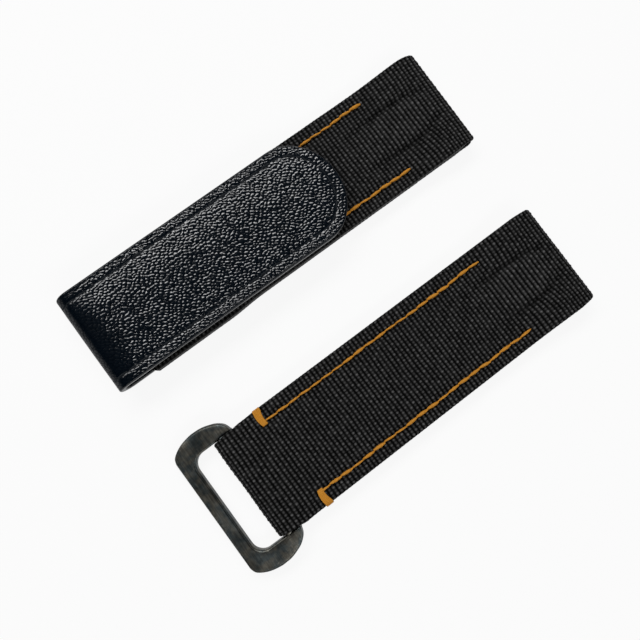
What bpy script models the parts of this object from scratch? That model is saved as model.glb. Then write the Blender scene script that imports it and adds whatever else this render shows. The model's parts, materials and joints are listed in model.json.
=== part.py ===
"""Hook and loop watch strap: two woven halves, a folded leather tongue and a metal keeper ring.

Metres, +Z up. The strap lies on the surface z = 0 with its two halves side by side. +X runs along
both halves towards the ends that the watch case holds, and the hook half lies on the +Y side.
Inside each half, a distance called "along" is measured from the case end towards the free end.
"""

import math

import bmesh
import bpy
import numpy as np

# Overall sizes
STRAP_WIDTH = 0.0200
HOOK_HALF_LENGTH = 0.0772
RING_HALF_LENGTH = 0.0765
HALF_SPACING = 0.0357
CASE_END_SETBACK = 0.0006

# Layers, from the skin side up
LINING_THICKNESS = 0.0006
FILLER_THICKNESS = 0.0007
FABRIC_THICKNESS = 0.0009
LOOP_TAPE_THICKNESS = 0.0006
HOOK_TAPE_THICKNESS = 0.0007
LEATHER_THICKNESS = 0.0012
LAYER_GAP = 0.0002
FABRIC_EDGE_ROUND = 0.0004
LEATHER_EDGE_ROUND = 0.00028

# Tunnel for the spring bar at the case end
SPRING_BAR_DIAMETER = 0.0018
SPRING_BAR_PLAY = 0.0001
CASE_RAMP = 0.0130
CASE_TAIL = 0.0112
TUNNEL_CLOSING = 0.0014
CASE_TAPE_WIDTH = 0.0084
VALLEY_OFFSET = 0.0043
VALLEY_WIDTH = 0.0022
VALLEY_DEPTH = 0.00042
VALLEY_REACH = 0.0180

# Leather tongue
TONGUE_WIDTH_INSET = 0.00055
TONGUE_TIP_ALONG = 0.0254
TONGUE_SIDE_SHIFT = 0.0005
TONGUE_TIP_DEPTH = 0.0080
LEATHER_EXPOSED = 0.0062
LEATHER_TUCK = 0.0080
FOLD_SPLIT_GAP = 0.0002
PIVOT_CLEARANCE = 0.0001

# Tapes
LOOP_TAPE_SET_BACK = 0.0028
TAPE_CORNER = 0.0012
HOOK_TAPE_INSET = 0.0007
HOOK_TAPE_FOLD_CLEARANCE = 0.0045

# Threads
THREAD_DIAMETER = 0.0005
LEATHER_THREAD_DIAMETER = 0.00034
THREAD_LIFT = 0.0001
STITCH_PITCH = 0.0023
LEATHER_STITCH_PITCH = 0.0024
SEAM_INSET = 0.0025
SEAM_START = 0.0135
TACK_FROM_FRONT = 0.0096
EDGE_SEAM_INSET = 0.0022
ROOT_SEAM_LENGTH = 0.0055
ROOT_SEAM_EDGE = 0.0015

# Keeper ring
RING_BAR_DIAMETER = 0.0017
RING_BAR_PLAY = 0.00015
RING_SIDE_PLAY = 0.00025
RING_THICKNESS = 0.0019
RING_SLOT_REACH = 0.0063
RING_FRONT_BAR = 0.0025
RING_REAR = 0.0022
RING_ARM_WIDTH = 0.0036
RING_SLOT_CORNER = 0.0022
RING_EDGE_ROUND = 0.00055
RING_RAMP = 0.0060
RING_TAIL = 0.0075
RING_LOOP_NARROWING = 0.0006
RING_NECK_RAMP = 0.0024

# One overrun serves every cut, and points closer than the weld distance are one
CUT_OVERRUN = 0.0010
WELD_DISTANCE = 0.000001

# Outer edge of the keeper ring, front to rear: share of the way from the front face to the rear
# face, and share of the arm's width outside the slot
RING_EDGE_SHARES = (
    (0.000, 0.260),
    (0.035, 0.529),
    (0.135, 0.753),
    (0.260, 0.908),
    (0.410, 0.994),
    (0.500, 1.000),
    (0.620, 0.971),
    (0.740, 0.864),
    (0.850, 0.719),
    (0.945, 0.472),
    (1.000, 0.125),
)
THREAD_SWELL_SHARE = 0.16

ARC_STEPS = 12
RAMP_STEPS = 9

# Heights that follow from the layers
lining_top = LINING_THICKNESS
filler_bottom = lining_top + LAYER_GAP
filler_top = filler_bottom + FILLER_THICKNESS
body_top = filler_top + LAYER_GAP + FABRIC_THICKNESS
loop_bottom = body_top + LAYER_GAP
hook_bottom = loop_bottom + LOOP_TAPE_THICKNESS + LAYER_GAP
leather_bottom = hook_bottom + HOOK_TAPE_THICKNESS + LAYER_GAP
leather_top = leather_bottom + LEATHER_THICKNESS

# Loops of fabric round the spring bar and round the keeper ring's inner bar
tunnel_radius = SPRING_BAR_DIAMETER / 2 + SPRING_BAR_PLAY
case_loop_radius = tunnel_radius + FABRIC_THICKNESS
ring_bore_radius = RING_BAR_DIAMETER / 2 + RING_BAR_PLAY
ring_loop_radius = ring_bore_radius + FABRIC_THICKNESS
ring_reach = RING_SLOT_REACH + RING_FRONT_BAR
bar_along = RING_HALF_LENGTH - ring_reach

# Fold of the leather
fold_radius = (leather_top - filler_bottom) / 2
fold_height = filler_bottom + fold_radius
fold_along = HOOK_HALF_LENGTH - fold_radius
fabric_end = HOOK_HALF_LENGTH - LEATHER_EXPOSED
tuck_end = fabric_end - LEATHER_TUCK

# Widths
half_width = STRAP_WIDTH / 2
cavity_half_width = half_width - FABRIC_THICKNESS
inlay_half_width = cavity_half_width - LAYER_GAP
tongue_half_width = half_width - TONGUE_WIDTH_INSET
seam_side = half_width - SEAM_INSET
loop_tape_half_width = seam_side - THREAD_DIAMETER / 2 - LAYER_GAP
slot_half_length = half_width - RING_LOOP_NARROWING + RING_SIDE_PLAY
ring_half_width = slot_half_length + RING_ARM_WIDTH

# Places of the two halves
case_end_x = HOOK_HALF_LENGTH / 2
hook_side_y = (HALF_SPACING + ring_half_width - half_width) / 2
ring_side_y = hook_side_y - HALF_SPACING
cavity_start = case_loop_radius + tunnel_radius + TUNNEL_CLOSING
tail_end = case_loop_radius + CASE_TAIL
ring_tail_end = bar_along - RING_TAIL


def clear_scene():
    """Removes every object, so that the scene holds only the strap."""
    for obj in list(bpy.data.objects):
        bpy.data.objects.remove(obj, do_unlink=True)


def new_collection(name):
    collection = bpy.data.collections.new(name)
    bpy.context.scene.collection.children.link(collection)
    return collection


def smooth(value):
    """Eases a share from 0 to 1 with level ends."""
    share = np.clip(value, 0, 1)
    return share * share * (3 - 2 * share)


def case_height(along):
    """Height of the upper face near the case end, where it climbs over the spring bar tunnel."""
    rise = 2 * case_loop_radius - body_top
    return body_top + rise * smooth((case_loop_radius + CASE_RAMP - along) / CASE_RAMP)


def ring_height(along):
    """Height of the upper face of the ring half, which climbs at both ends."""
    rise = 2 * ring_loop_radius - body_top
    return case_height(along) + rise * smooth((along - bar_along + RING_RAMP) / RING_RAMP)


def arc(centre_x, centre_z, radius, start_degrees, end_degrees, steps=ARC_STEPS):
    """Points on an arc in the side view, angles measured from +X towards +Z."""
    angles = np.radians(np.linspace(start_degrees, end_degrees, steps + 1))
    return [(centre_x + radius * math.cos(a), centre_z + radius * math.sin(a)) for a in angles]


def run(start, end, height, steps=RAMP_STEPS):
    """Points of an upper face between two distances along the strap, in the side view."""
    return [(-a, height(a)) for a in np.linspace(start, end, steps + 1)]


def material(name, colour, roughness, metallic=0.0):
    made = bpy.data.materials.new(name)
    made.use_nodes = True
    shader = made.node_tree.nodes["Principled BSDF"]
    shader.inputs["Base Color"].default_value = (*colour, 1.0)
    shader.inputs["Roughness"].default_value = roughness
    shader.inputs["Metallic"].default_value = metallic
    made.diffuse_color = (*colour, 1.0)
    return made


def woven_nylon(name):
    return material(name, (0.012, 0.012, 0.014), 0.82)


def lining_cloth(name):
    return material(name, (0.018, 0.018, 0.020), 0.90)


def filler_foam(name):
    return material(name, (0.050, 0.050, 0.052), 0.95)


def reinforcing_tape(name):
    return material(name, (0.020, 0.020, 0.022), 0.85)


def loop_pile(name):
    return material(name, (0.022, 0.022, 0.024), 0.95)


def moulded_hooks(name):
    return material(name, (0.020, 0.020, 0.021), 0.55)


def grained_leather(name):
    return material(name, (0.011, 0.012, 0.016), 0.38)


def orange_thread(name):
    return material(name, (0.560, 0.230, 0.030), 0.60)


def black_thread(name):
    return material(name, (0.015, 0.015, 0.016), 0.60)


def gunmetal(name):
    return material(name, (0.055, 0.062, 0.062), 0.36, 1.0)


def outline_curve(name, points, half_depth, edge_round=0.0, rounding_steps=1):
    """A closed flat outline thickened to both sides, with its rims rounded inside the outline."""
    data = bpy.data.curves.new(name, "CURVE")
    data.dimensions = "2D"
    data.fill_mode = "BOTH"
    data.extrude = half_depth - edge_round
    data.bevel_depth = edge_round
    data.bevel_resolution = rounding_steps
    data.offset = -edge_round
    spline = data.splines.new("POLY")
    spline.points.add(len(points) - 1)
    spline.points.foreach_set("co", [v for x, y in points for v in (x, y, 0.0, 1.0)])
    spline.use_cyclic_u = True
    return bpy.data.objects.new(name, data)


def rounded_plate(length, half_width_, corner, steps=4):
    """Outline of a rounded rectangle that starts at x = 0 and runs towards -X."""
    corners = (
        (-corner, half_width_ - corner, 0),
        (corner - length, half_width_ - corner, 90),
        (corner - length, corner - half_width_, 180),
        (-corner, corner - half_width_, 270),
    )
    return [p for x, y, turn in corners for p in arc(x, y, corner, turn, turn + 90, steps)]


def thread_curve(name, points, diameter, pitch, cyclic=False):
    """A thread along a path: it swells at each stitch and thins between stitches."""
    path = np.array(points + points[:1] if cyclic else points, dtype=float)
    lengths = np.concatenate([[0], np.cumsum(np.linalg.norm(np.diff(path, axis=0), axis=1))])
    count = 2 * max(2, round(lengths[-1] / pitch))
    stations = np.union1d(np.linspace(0, lengths[-1], count + 1), lengths)
    stations = stations[np.concatenate([[True], np.diff(stations) > diameter / 4])]
    if cyclic:
        stations = stations[:-1]
    data = bpy.data.curves.new(name, "CURVE")
    data.dimensions = "3D"
    data.bevel_depth = diameter / 2
    data.bevel_resolution = 1
    data.use_fill_caps = True
    spline = data.splines.new("POLY")
    spline.points.add(len(stations) - 1)
    for point, station in zip(spline.points, stations):
        place = [np.interp(station, lengths, path[:, axis]) for axis in range(3)]
        point.co = (*place, 1.0)
        point.radius = 1 - THREAD_SWELL_SHARE * (1 + math.cos(2 * math.pi * station / pitch)) / 2
    spline.use_cyclic_u = cyclic
    return bpy.data.objects.new(name, data)


def meshed(obj):
    """The curve object as a closed mesh object of the same name and place."""
    bpy.context.scene.collection.objects.link(obj)
    bpy.context.view_layer.update()
    graph = bpy.context.evaluated_depsgraph_get()
    name = obj.name
    mesh = bpy.data.meshes.new_from_object(obj.evaluated_get(graph))
    place = obj.matrix_world.copy()
    bpy.data.objects.remove(obj, do_unlink=True)
    edit = bmesh.new()
    edit.from_mesh(mesh)
    bmesh.ops.remove_doubles(edit, verts=edit.verts, dist=WELD_DISTANCE)
    bmesh.ops.recalc_face_normals(edit, faces=edit.faces)
    edit.to_mesh(mesh)
    edit.free()
    mesh.name = name
    made = bpy.data.objects.new(name, mesh)
    made.matrix_world = place
    return made


def side_view(obj):
    """Turns an outline drawn in the side view upright, so that its depth runs across the strap."""
    obj.rotation_euler = (math.pi / 2, 0, 0)
    return obj


def level(obj, bottom, top):
    """Lifts an outline drawn from above to the middle of its layer."""
    obj.location = (0, 0, (bottom + top) / 2)
    return obj


def side_block(name, points, half_depth, edge_round=0.0):
    return meshed(side_view(outline_curve(name, points, half_depth, edge_round)))


def plan_block(name, points, bottom, top):
    return meshed(level(outline_curve(name, points, (top - bottom) / 2), bottom, top))


def cross_rod(name, radius, half_length, x, z, sides=24):
    """A round rod across the strap."""
    mesh = bpy.data.meshes.new(name)
    edit = bmesh.new()
    bmesh.ops.create_cone(
        edit,
        cap_ends=True,
        segments=sides,
        radius1=radius,
        radius2=radius,
        depth=2 * half_length,
    )
    edit.to_mesh(mesh)
    edit.free()
    rod = bpy.data.objects.new(name, mesh)
    rod.rotation_euler = (math.pi / 2, 0, 0)
    rod.location = (x, 0, z)
    return rod


def valley_tool(name, side):
    """A long ellipsoid that presses the valley beside the raised middle of the case end."""
    near = np.array([-case_loop_radius, 2 * case_loop_radius])
    far = np.array([-VALLEY_REACH, body_top])
    slope = near - far
    mesh = bpy.data.meshes.new(name)
    edit = bmesh.new()
    bmesh.ops.create_uvsphere(edit, u_segments=16, v_segments=12, radius=1)
    size = (np.linalg.norm(slope) / 2, VALLEY_WIDTH / 2, VALLEY_DEPTH)
    bmesh.ops.scale(edit, vec=size, verts=edit.verts)
    edit.to_mesh(mesh)
    edit.free()
    tool = bpy.data.objects.new(name, mesh)
    middle = (near + far) / 2
    tool.location = (middle[0], side * VALLEY_OFFSET, middle[1])
    tool.rotation_euler = (0, -math.atan2(slope[1], slope[0]), 0)
    return tool


def shape_with(target, tool, operation, tools, parent):
    """Adds a Boolean of the tool to the target, and puts the tool away among the cutters."""
    tools.objects.link(tool)
    tool.parent = parent
    tool.hide_render = True
    tool.display_type = "WIRE"
    boolean = target.modifiers.new(operation.title() + " " + tool.name, "BOOLEAN")
    boolean.operation = operation
    boolean.solver = "EXACT"
    boolean.object = tool


def soften_edges(obj, width, segments=2):
    bevel = obj.modifiers.new("Rounded edges", "BEVEL")
    bevel.width = width
    bevel.segments = segments
    bevel.limit_method = "ANGLE"
    bevel.angle_limit = math.radians(50)
    bevel.use_clamp_overlap = True


def finish(obj, look, parent, strap, offset=(0, 0, 0)):
    """Gives a piece its material, its parent and its place in the collection."""
    obj.data.materials.clear()
    obj.data.materials.append(look(obj.name))
    obj.parent = parent
    obj.location = [place + shift for place, shift in zip(obj.location, offset)]
    strap.objects.link(obj)
    if obj.type == "MESH":
        obj.data.shade_smooth()
        obj.data.set_sharp_from_angle(angle=math.radians(35))
    return obj


def empty(name, location, collection, parent=None):
    made = bpy.data.objects.new(name, None)
    made.empty_display_size = half_width
    made.location = location
    made.parent = parent
    collection.objects.link(made)
    return made


def cavity_outline(height, far_end):
    """Room inside a half for its tape, filler and lining, open to the skin side past the tail."""
    ramp_end = case_loop_radius + CASE_RAMP
    underside = [(x, z - FABRIC_THICKNESS) for x, z in run(cavity_start, ramp_end, height)]
    return [
        (-cavity_start, FABRIC_THICKNESS),
        *underside,
        (-far_end, body_top - FABRIC_THICKNESS),
        (-far_end, -CUT_OVERRUN),
        (-tail_end, -CUT_OVERRUN),
        (-tail_end, FABRIC_THICKNESS),
    ]


def case_loop_arc():
    """Rounded case end, from the underside up to the top of the tunnel."""
    return arc(-case_loop_radius, case_loop_radius, case_loop_radius, -90, 90)


def cut_fabric(fabric, half, height, cavity_end, tools, parent):
    """Opens the spring bar tunnel and the cavity, and presses the valleys at the case end."""
    tunnel = cross_rod(
        half + "_tunnel_tool",
        tunnel_radius,
        half_width + CUT_OVERRUN,
        -case_loop_radius,
        case_loop_radius,
    )
    shape_with(fabric, tunnel, "DIFFERENCE", tools, parent)
    cavity = side_block(
        half + "_cavity_tool", cavity_outline(height, cavity_end), cavity_half_width
    )
    shape_with(fabric, cavity, "DIFFERENCE", tools, parent)
    for side, label in ((1, "left"), (-1, "right")):
        valley = valley_tool(half + "_valley_tool_" + label, side)
        shape_with(fabric, valley, "DIFFERENCE", tools, parent)


def hook_half_fabric(strap, tools, parent):
    """Woven upper: it wraps the spring bar at one end and turns down over both sides."""
    outline = [
        *case_loop_arc()[:-1],
        *run(case_loop_radius, case_loop_radius + CASE_RAMP, case_height),
        (-fabric_end, body_top),
        (-fabric_end, 0),
    ]
    fabric = side_block("hook_half_fabric", outline, half_width, FABRIC_EDGE_ROUND)
    cut_fabric(fabric, "hook_half", case_height, fabric_end + CUT_OVERRUN, tools, parent)
    return finish(fabric, woven_nylon, parent, strap)


def ring_half_fabric(strap, tools, parent):
    """Woven upper of the ring half: one sheet that wraps the spring bar and the ring's inner bar."""
    ramp = run(bar_along - RING_RAMP, bar_along, ring_height)
    outline = [
        *case_loop_arc()[:-1],
        *run(case_loop_radius, case_loop_radius + CASE_RAMP, ring_height),
        *ramp,
        *arc(-bar_along, ring_loop_radius, ring_loop_radius, 90, 270)[1:],
    ]
    fabric = side_block("ring_half_fabric", outline, half_width, FABRIC_EDGE_ROUND)
    narrow_ring_loop(fabric.data, [x for x, z in ramp])
    cut_fabric(fabric, "ring_half", ring_height, ring_tail_end, tools, parent)
    bore = cross_rod(
        "ring_bore_tool",
        ring_bore_radius,
        half_width + CUT_OVERRUN,
        -bar_along,
        ring_loop_radius,
    )
    shape_with(fabric, bore, "DIFFERENCE", tools, parent)
    return finish(fabric, woven_nylon, parent, strap)


def narrow_ring_loop(mesh, stations):
    """Draws the sides in behind the ring, so that the loop passes between the ring's arms."""
    edit = bmesh.new()
    edit.from_mesh(mesh)
    for x in stations:
        whole = [*edit.verts, *edit.edges, *edit.faces]
        bmesh.ops.bisect_plane(
            edit, geom=whole, dist=WELD_DISTANCE, plane_co=(x, 0, 0), plane_no=(1, 0, 0)
        )
    ramp_end = bar_along - RING_REAR
    for vertex in edit.verts:
        inward = smooth((RING_NECK_RAMP - ramp_end - vertex.co.x) / RING_NECK_RAMP)
        vertex.co.z *= 1 - inward * RING_LOOP_NARROWING / half_width
    edit.to_mesh(mesh)
    edit.free()
    mesh.update()


def inlay(name, start, end, bottom, top, look, parent, strap):
    """A flat layer inside a half: the lining or the filler."""
    plate = rounded_plate(end - start, inlay_half_width, TAPE_CORNER)
    piece = level(outline_curve(name, plate, (top - bottom) / 2), bottom, top)
    piece.location.x = -start
    return finish(piece, look, parent, strap)


def case_tape(name, height, parent, strap):
    """Narrow folded tape under the raised middle of the case end."""
    start = cavity_start + LAYER_GAP
    end = tail_end - LAYER_GAP
    upper = [(x, z - FABRIC_THICKNESS - LAYER_GAP) for x, z in run(start, end, height)]
    bottom = FABRIC_THICKNESS + LAYER_GAP
    outline = [(-start, bottom), *upper, (-end, bottom)]
    tape = side_view(outline_curve(name, outline, CASE_TAPE_WIDTH / 2))
    return finish(tape, reinforcing_tape, parent, strap)


def seam_point(along, side, height):
    return (-along, side, height(along) + THREAD_LIFT + THREAD_DIAMETER / 2)


def straight_seam(name, side, parent, strap):
    """Orange seam of the hook half, from the case end to the tucked leather."""
    stations = [*np.linspace(SEAM_START, CASE_RAMP + case_loop_radius, 3), tuck_end]
    path = [seam_point(a, side * seam_side, case_height) for a in stations]
    seam = thread_curve(name, path, THREAD_DIAMETER, STITCH_PITCH)
    return finish(seam, orange_thread, parent, strap)


def tacked_seam(name, side, parent, strap):
    """Orange seam of the ring half, which turns out to the edge in a tack near the ring."""
    tack = bar_along + ring_loop_radius - TACK_FROM_FRONT
    stations = [*np.linspace(SEAM_START, CASE_RAMP + case_loop_radius, 3), tack]
    path = [seam_point(a, side * seam_side, ring_height) for a in stations]
    edge = half_width - FABRIC_EDGE_ROUND
    path.append(seam_point(tack, side * edge, ring_height))
    seam = thread_curve(name, path, THREAD_DIAMETER, STITCH_PITCH)
    return finish(seam, orange_thread, parent, strap)


def loop_tape(strap, parent):
    """Loop pile under the closed tongue, between the two seams."""
    start = TONGUE_TIP_ALONG + LOOP_TAPE_SET_BACK
    end = tuck_end - LAYER_GAP
    plate = rounded_plate(end - start, loop_tape_half_width, TAPE_CORNER)
    tape = outline_curve("loop_tape", plate, LOOP_TAPE_THICKNESS / 2)
    level(tape, loop_bottom, loop_bottom + LOOP_TAPE_THICKNESS)
    tape.location.x = -start
    return finish(tape, loop_pile, parent, strap)


def tongue_tip(inset):
    """Points round the tongue's tip, drawn in from its edge, from the -Y side to the +Y side."""
    tip_root = TONGUE_TIP_ALONG + TONGUE_TIP_DEPTH
    depth = TONGUE_TIP_DEPTH - inset
    side = tongue_half_width - inset
    angles = np.radians(np.linspace(-90, 90, 2 * ARC_STEPS + 1))
    return [(-tip_root + depth * math.cos(a), side * math.sin(a) - TONGUE_SIDE_SHIFT) for a in angles]


def tongue_sides(inset):
    """Where the tongue's two straight edges lie, drawn in from its edge: the +Y side first."""
    side = tongue_half_width - inset
    return side - TONGUE_SIDE_SHIFT, -side - TONGUE_SIDE_SHIFT


def tongue_plan(name):
    """Outline of the leather seen from above: straight sides and a half-round tip."""
    far = -HOOK_HALF_LENGTH - CUT_OVERRUN
    left, right = tongue_sides(0)
    outline = [*tongue_tip(0), (far, left), (far, right)]
    return plan_block(name, outline, -CUT_OVERRUN, leather_top + CUT_OVERRUN)


def root_plan(name):
    """Outline of the tucked leather seen from above: full width at the fold, narrower inside."""
    shoulder = -fabric_end - LAYER_GAP
    inner = -tuck_end + CUT_OVERRUN
    far = -HOOK_HALF_LENGTH - CUT_OVERRUN
    left, right = tongue_sides(0)
    tuck_left, tuck_right = tongue_sides(half_width - inlay_half_width)
    outline = [
        (inner, tuck_right),
        (inner, tuck_left),
        (shoulder, tuck_left),
        (shoulder, left),
        (far, left),
        (far, right),
        (shoulder, right),
        (shoulder, tuck_right),
    ]
    return plan_block(name, outline, -CUT_OVERRUN, leather_top + CUT_OVERRUN)


def tongue_leather(strap, tools, hook_half, axis, pivot):
    """Upper run of the leather with the upper quarter of its fold."""
    inner_radius = fold_radius - LEATHER_THICKNESS
    split = math.degrees(math.asin(FOLD_SPLIT_GAP / 2 / fold_radius))
    inner_split = math.degrees(math.asin(FOLD_SPLIT_GAP / 2 / inner_radius))
    outline = [
        (-TONGUE_TIP_ALONG + CUT_OVERRUN, leather_bottom),
        (-TONGUE_TIP_ALONG + CUT_OVERRUN, leather_top),
        *arc(-fold_along, fold_height, fold_radius, 90, 180 - split),
        *arc(-fold_along, fold_height, inner_radius, 180 - inner_split, 90),
    ]
    leather = side_block("tongue_leather", outline, half_width)
    shape_with(leather, tongue_plan("tongue_plan_tool"), "INTERSECT", tools, hook_half)
    soften_edges(leather, LEATHER_EDGE_ROUND)
    return finish(leather, grained_leather, axis, strap, pivot)


def tongue_root_leather(strap, tools, parent):
    """Lower quarter of the fold and the thinned end that is sewn between fabric and lining."""
    inner_radius = fold_radius - LEATHER_THICKNESS
    split = math.degrees(math.asin(FOLD_SPLIT_GAP / 2 / fold_radius))
    inner_split = math.degrees(math.asin(FOLD_SPLIT_GAP / 2 / inner_radius))
    outline = [
        (-tuck_end, filler_bottom),
        *arc(-fold_along, fold_height, fold_radius, 270, 180 + split),
        *arc(-fold_along, fold_height, inner_radius, 180 + inner_split, 270),
        (-fabric_end - LEATHER_THICKNESS, filler_bottom + LEATHER_THICKNESS),
        (-fabric_end, filler_top),
        (-tuck_end, filler_top),
    ]
    leather = side_block("tongue_root_leather", outline, half_width)
    shape_with(leather, root_plan("root_plan_tool"), "INTERSECT", tools, parent)
    soften_edges(leather, LEATHER_EDGE_ROUND)
    return finish(leather, grained_leather, parent, strap)


def tongue_root_seam(strap, parent):
    """Box of stitches that fastens the tucked leather, hidden under the closed tongue."""
    near = tuck_end + ROOT_SEAM_EDGE
    corners = (
        (near, seam_side - ROOT_SEAM_EDGE),
        (near + ROOT_SEAM_LENGTH, seam_side - ROOT_SEAM_EDGE),
        (near + ROOT_SEAM_LENGTH, ROOT_SEAM_EDGE - seam_side),
        (near, ROOT_SEAM_EDGE - seam_side),
    )
    path = [seam_point(a, y, case_height) for a, y in corners]
    seam = thread_curve("tongue_root_seam", path, THREAD_DIAMETER, STITCH_PITCH, cyclic=True)
    return finish(seam, black_thread, parent, strap)


def hook_tape(strap, axis, pivot):
    """Hook strip under the leather, with the leather's own outline drawn in from its edge."""
    end = -fold_along + HOOK_TAPE_FOLD_CLEARANCE
    left, right = tongue_sides(HOOK_TAPE_INSET)
    outline = [*tongue_tip(HOOK_TAPE_INSET), (end, left), (end, right)]
    tape = outline_curve("hook_tape", outline, HOOK_TAPE_THICKNESS / 2)
    level(tape, hook_bottom, hook_bottom + HOOK_TAPE_THICKNESS)
    return finish(tape, moulded_hooks, axis, strap, pivot)


def tongue_edge_seam(strap, axis, pivot):
    """Black seam that runs up round the fold, along both edges of the tongue and round its tip."""
    lift = THREAD_LIFT + LEATHER_THREAD_DIAMETER / 2
    left, right = tongue_sides(EDGE_SEAM_INSET)
    fold = arc(-fold_along, fold_height, fold_radius + lift, 165, 90, 5)
    path = [
        *((x, left, z) for x, z in fold),
        *((x, y, leather_top + lift) for x, y in reversed(tongue_tip(EDGE_SEAM_INSET))),
        *((x, right, z) for x, z in reversed(fold)),
    ]
    seam = thread_curve(
        "tongue_edge_seam", path, LEATHER_THREAD_DIAMETER, LEATHER_STITCH_PITCH
    )
    return finish(seam, black_thread, axis, strap, pivot)


def ring_outline():
    """Open frame of the ring seen from above, its inner bar left out: outer edge, then the slot."""
    length = ring_reach + RING_REAR
    stations = np.array(RING_EDGE_SHARES)
    spread = np.linspace(0, 1, 3 * (len(stations) - 1) + 1)
    knots = np.linspace(0, 1, len(stations))
    xs = smooth_through(knots, stations[:, 0], spread) * length - ring_reach
    ys = slot_half_length + smooth_through(knots, stations[:, 1], spread) * RING_ARM_WIDTH
    outer = list(zip(xs, ys))
    mirrored = [(x, -y) for x, y in reversed(outer)]
    corner_x = RING_SLOT_CORNER - RING_SLOT_REACH
    corner_y = slot_half_length - RING_SLOT_CORNER
    rear = RING_REAR
    slot = [
        (rear, slot_half_length),
        *arc(corner_x, corner_y, RING_SLOT_CORNER, 90, 180, 6),
        *arc(corner_x, -corner_y, RING_SLOT_CORNER, 180, 270, 6),
        (rear, -slot_half_length),
    ]
    return [*mirrored, *outer, *slot]


def smooth_through(knots, values, spread):
    """Catmull-Rom curve through evenly spaced values."""
    padded = np.concatenate([[2 * values[0] - values[1]], values, [2 * values[-1] - values[-2]]])
    place = np.clip(spread, 0, 1) * (len(knots) - 1)
    index = np.minimum(place.astype(int), len(knots) - 2)
    t = place - index
    before, start, end, after = (padded[index + k] for k in range(4))
    return 0.5 * (
        2 * start
        + (end - before) * t
        + (2 * before - 5 * start + 4 * end - after) * t**2
        + (3 * start - before - 3 * end + after) * t**3
    )


def keeper_ring(strap, tools, axis):
    """Cast ring: a flat frame round the slot and a round inner bar that the fabric holds."""
    plate = meshed(
        outline_curve(
            "keeper_ring", ring_outline(), RING_THICKNESS / 2, RING_EDGE_ROUND, 2
        )
    )
    bar = cross_rod(
        "ring_bar_tool",
        RING_BAR_DIAMETER / 2,
        slot_half_length + RING_ARM_WIDTH / 2,
        0,
        0,
    )
    shape_with(plate, bar, "UNION", tools, axis)
    return finish(plate, gunmetal, axis, strap)


def ring_droop():
    """Angle at which the ring's front edge rests on the surface under the strap."""
    heel = ring_reach - RING_EDGE_ROUND
    half = RING_THICKNESS / 2
    return math.asin(ring_loop_radius / math.hypot(heel, half)) - math.atan2(half, heel)


def build_hook_half(strap, tools):
    hook_half = empty("hook_half_case_end", (case_end_x, hook_side_y, 0), strap)
    pivot = (-HOOK_HALF_LENGTH - PIVOT_CLEARANCE, 0, fold_height)
    axis = empty("tongue_peel_axis", pivot, strap, hook_half)
    back = [-v for v in pivot]
    hook_half_fabric(strap, tools, hook_half)
    lining_start = tail_end + LAYER_GAP
    inlay(
        "hook_half_lining", lining_start, fabric_end, 0, lining_top, lining_cloth, hook_half, strap
    )
    filler_end = tuck_end - LAYER_GAP
    inlay(
        "hook_half_filler",
        lining_start,
        filler_end,
        filler_bottom,
        filler_top,
        filler_foam,
        hook_half,
        strap,
    )
    case_tape("hook_half_case_tape", case_height, hook_half, strap)
    loop_tape(strap, hook_half)
    straight_seam("hook_half_seam_left", 1, hook_half, strap)
    straight_seam("hook_half_seam_right", -1, hook_half, strap)
    tongue_root_leather(strap, tools, hook_half)
    tongue_root_seam(strap, hook_half)
    tongue_leather(strap, tools, hook_half, axis, back)
    hook_tape(strap, axis, back)
    tongue_edge_seam(strap, axis, back)


def build_ring_half(strap, tools):
    place = (case_end_x - CASE_END_SETBACK, ring_side_y, 0)
    ring_half = empty("ring_half_case_end", place, strap)
    ring_half_fabric(strap, tools, ring_half)
    lining_start = tail_end + LAYER_GAP
    inlay_end = ring_tail_end - LAYER_GAP
    inlay(
        "ring_half_lining", lining_start, inlay_end, 0, lining_top, lining_cloth, ring_half, strap
    )
    inlay(
        "ring_half_filler",
        lining_start,
        inlay_end,
        filler_bottom,
        filler_top,
        filler_foam,
        ring_half,
        strap,
    )
    case_tape("ring_half_case_tape", case_height, ring_half, strap)
    tacked_seam("ring_half_seam_left", 1, ring_half, strap)
    tacked_seam("ring_half_seam_right", -1, ring_half, strap)
    axis = empty("ring_swing_axis", (-bar_along, 0, ring_loop_radius), strap, ring_half)
    axis.rotation_euler = (0, -ring_droop(), 0)
    keeper_ring(strap, tools, axis)


def main():
    clear_scene()
    strap = new_collection("hook_and_loop_watch_strap")
    tools = new_collection("cutters")
    build_hook_half(strap, tools)
    build_ring_half(strap, tools)


main()
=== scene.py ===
"""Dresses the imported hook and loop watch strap: woven uppers, grained leather, stitches and gunmetal.

Metres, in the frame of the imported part. "Along" is measured from a half's case end towards its free
end, "side" from its middle line, and "depth" inwards from the outer face of a layer.
"""

import json
import math

import bpy
import numpy as np
from mathutils import Matrix, Vector


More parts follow.
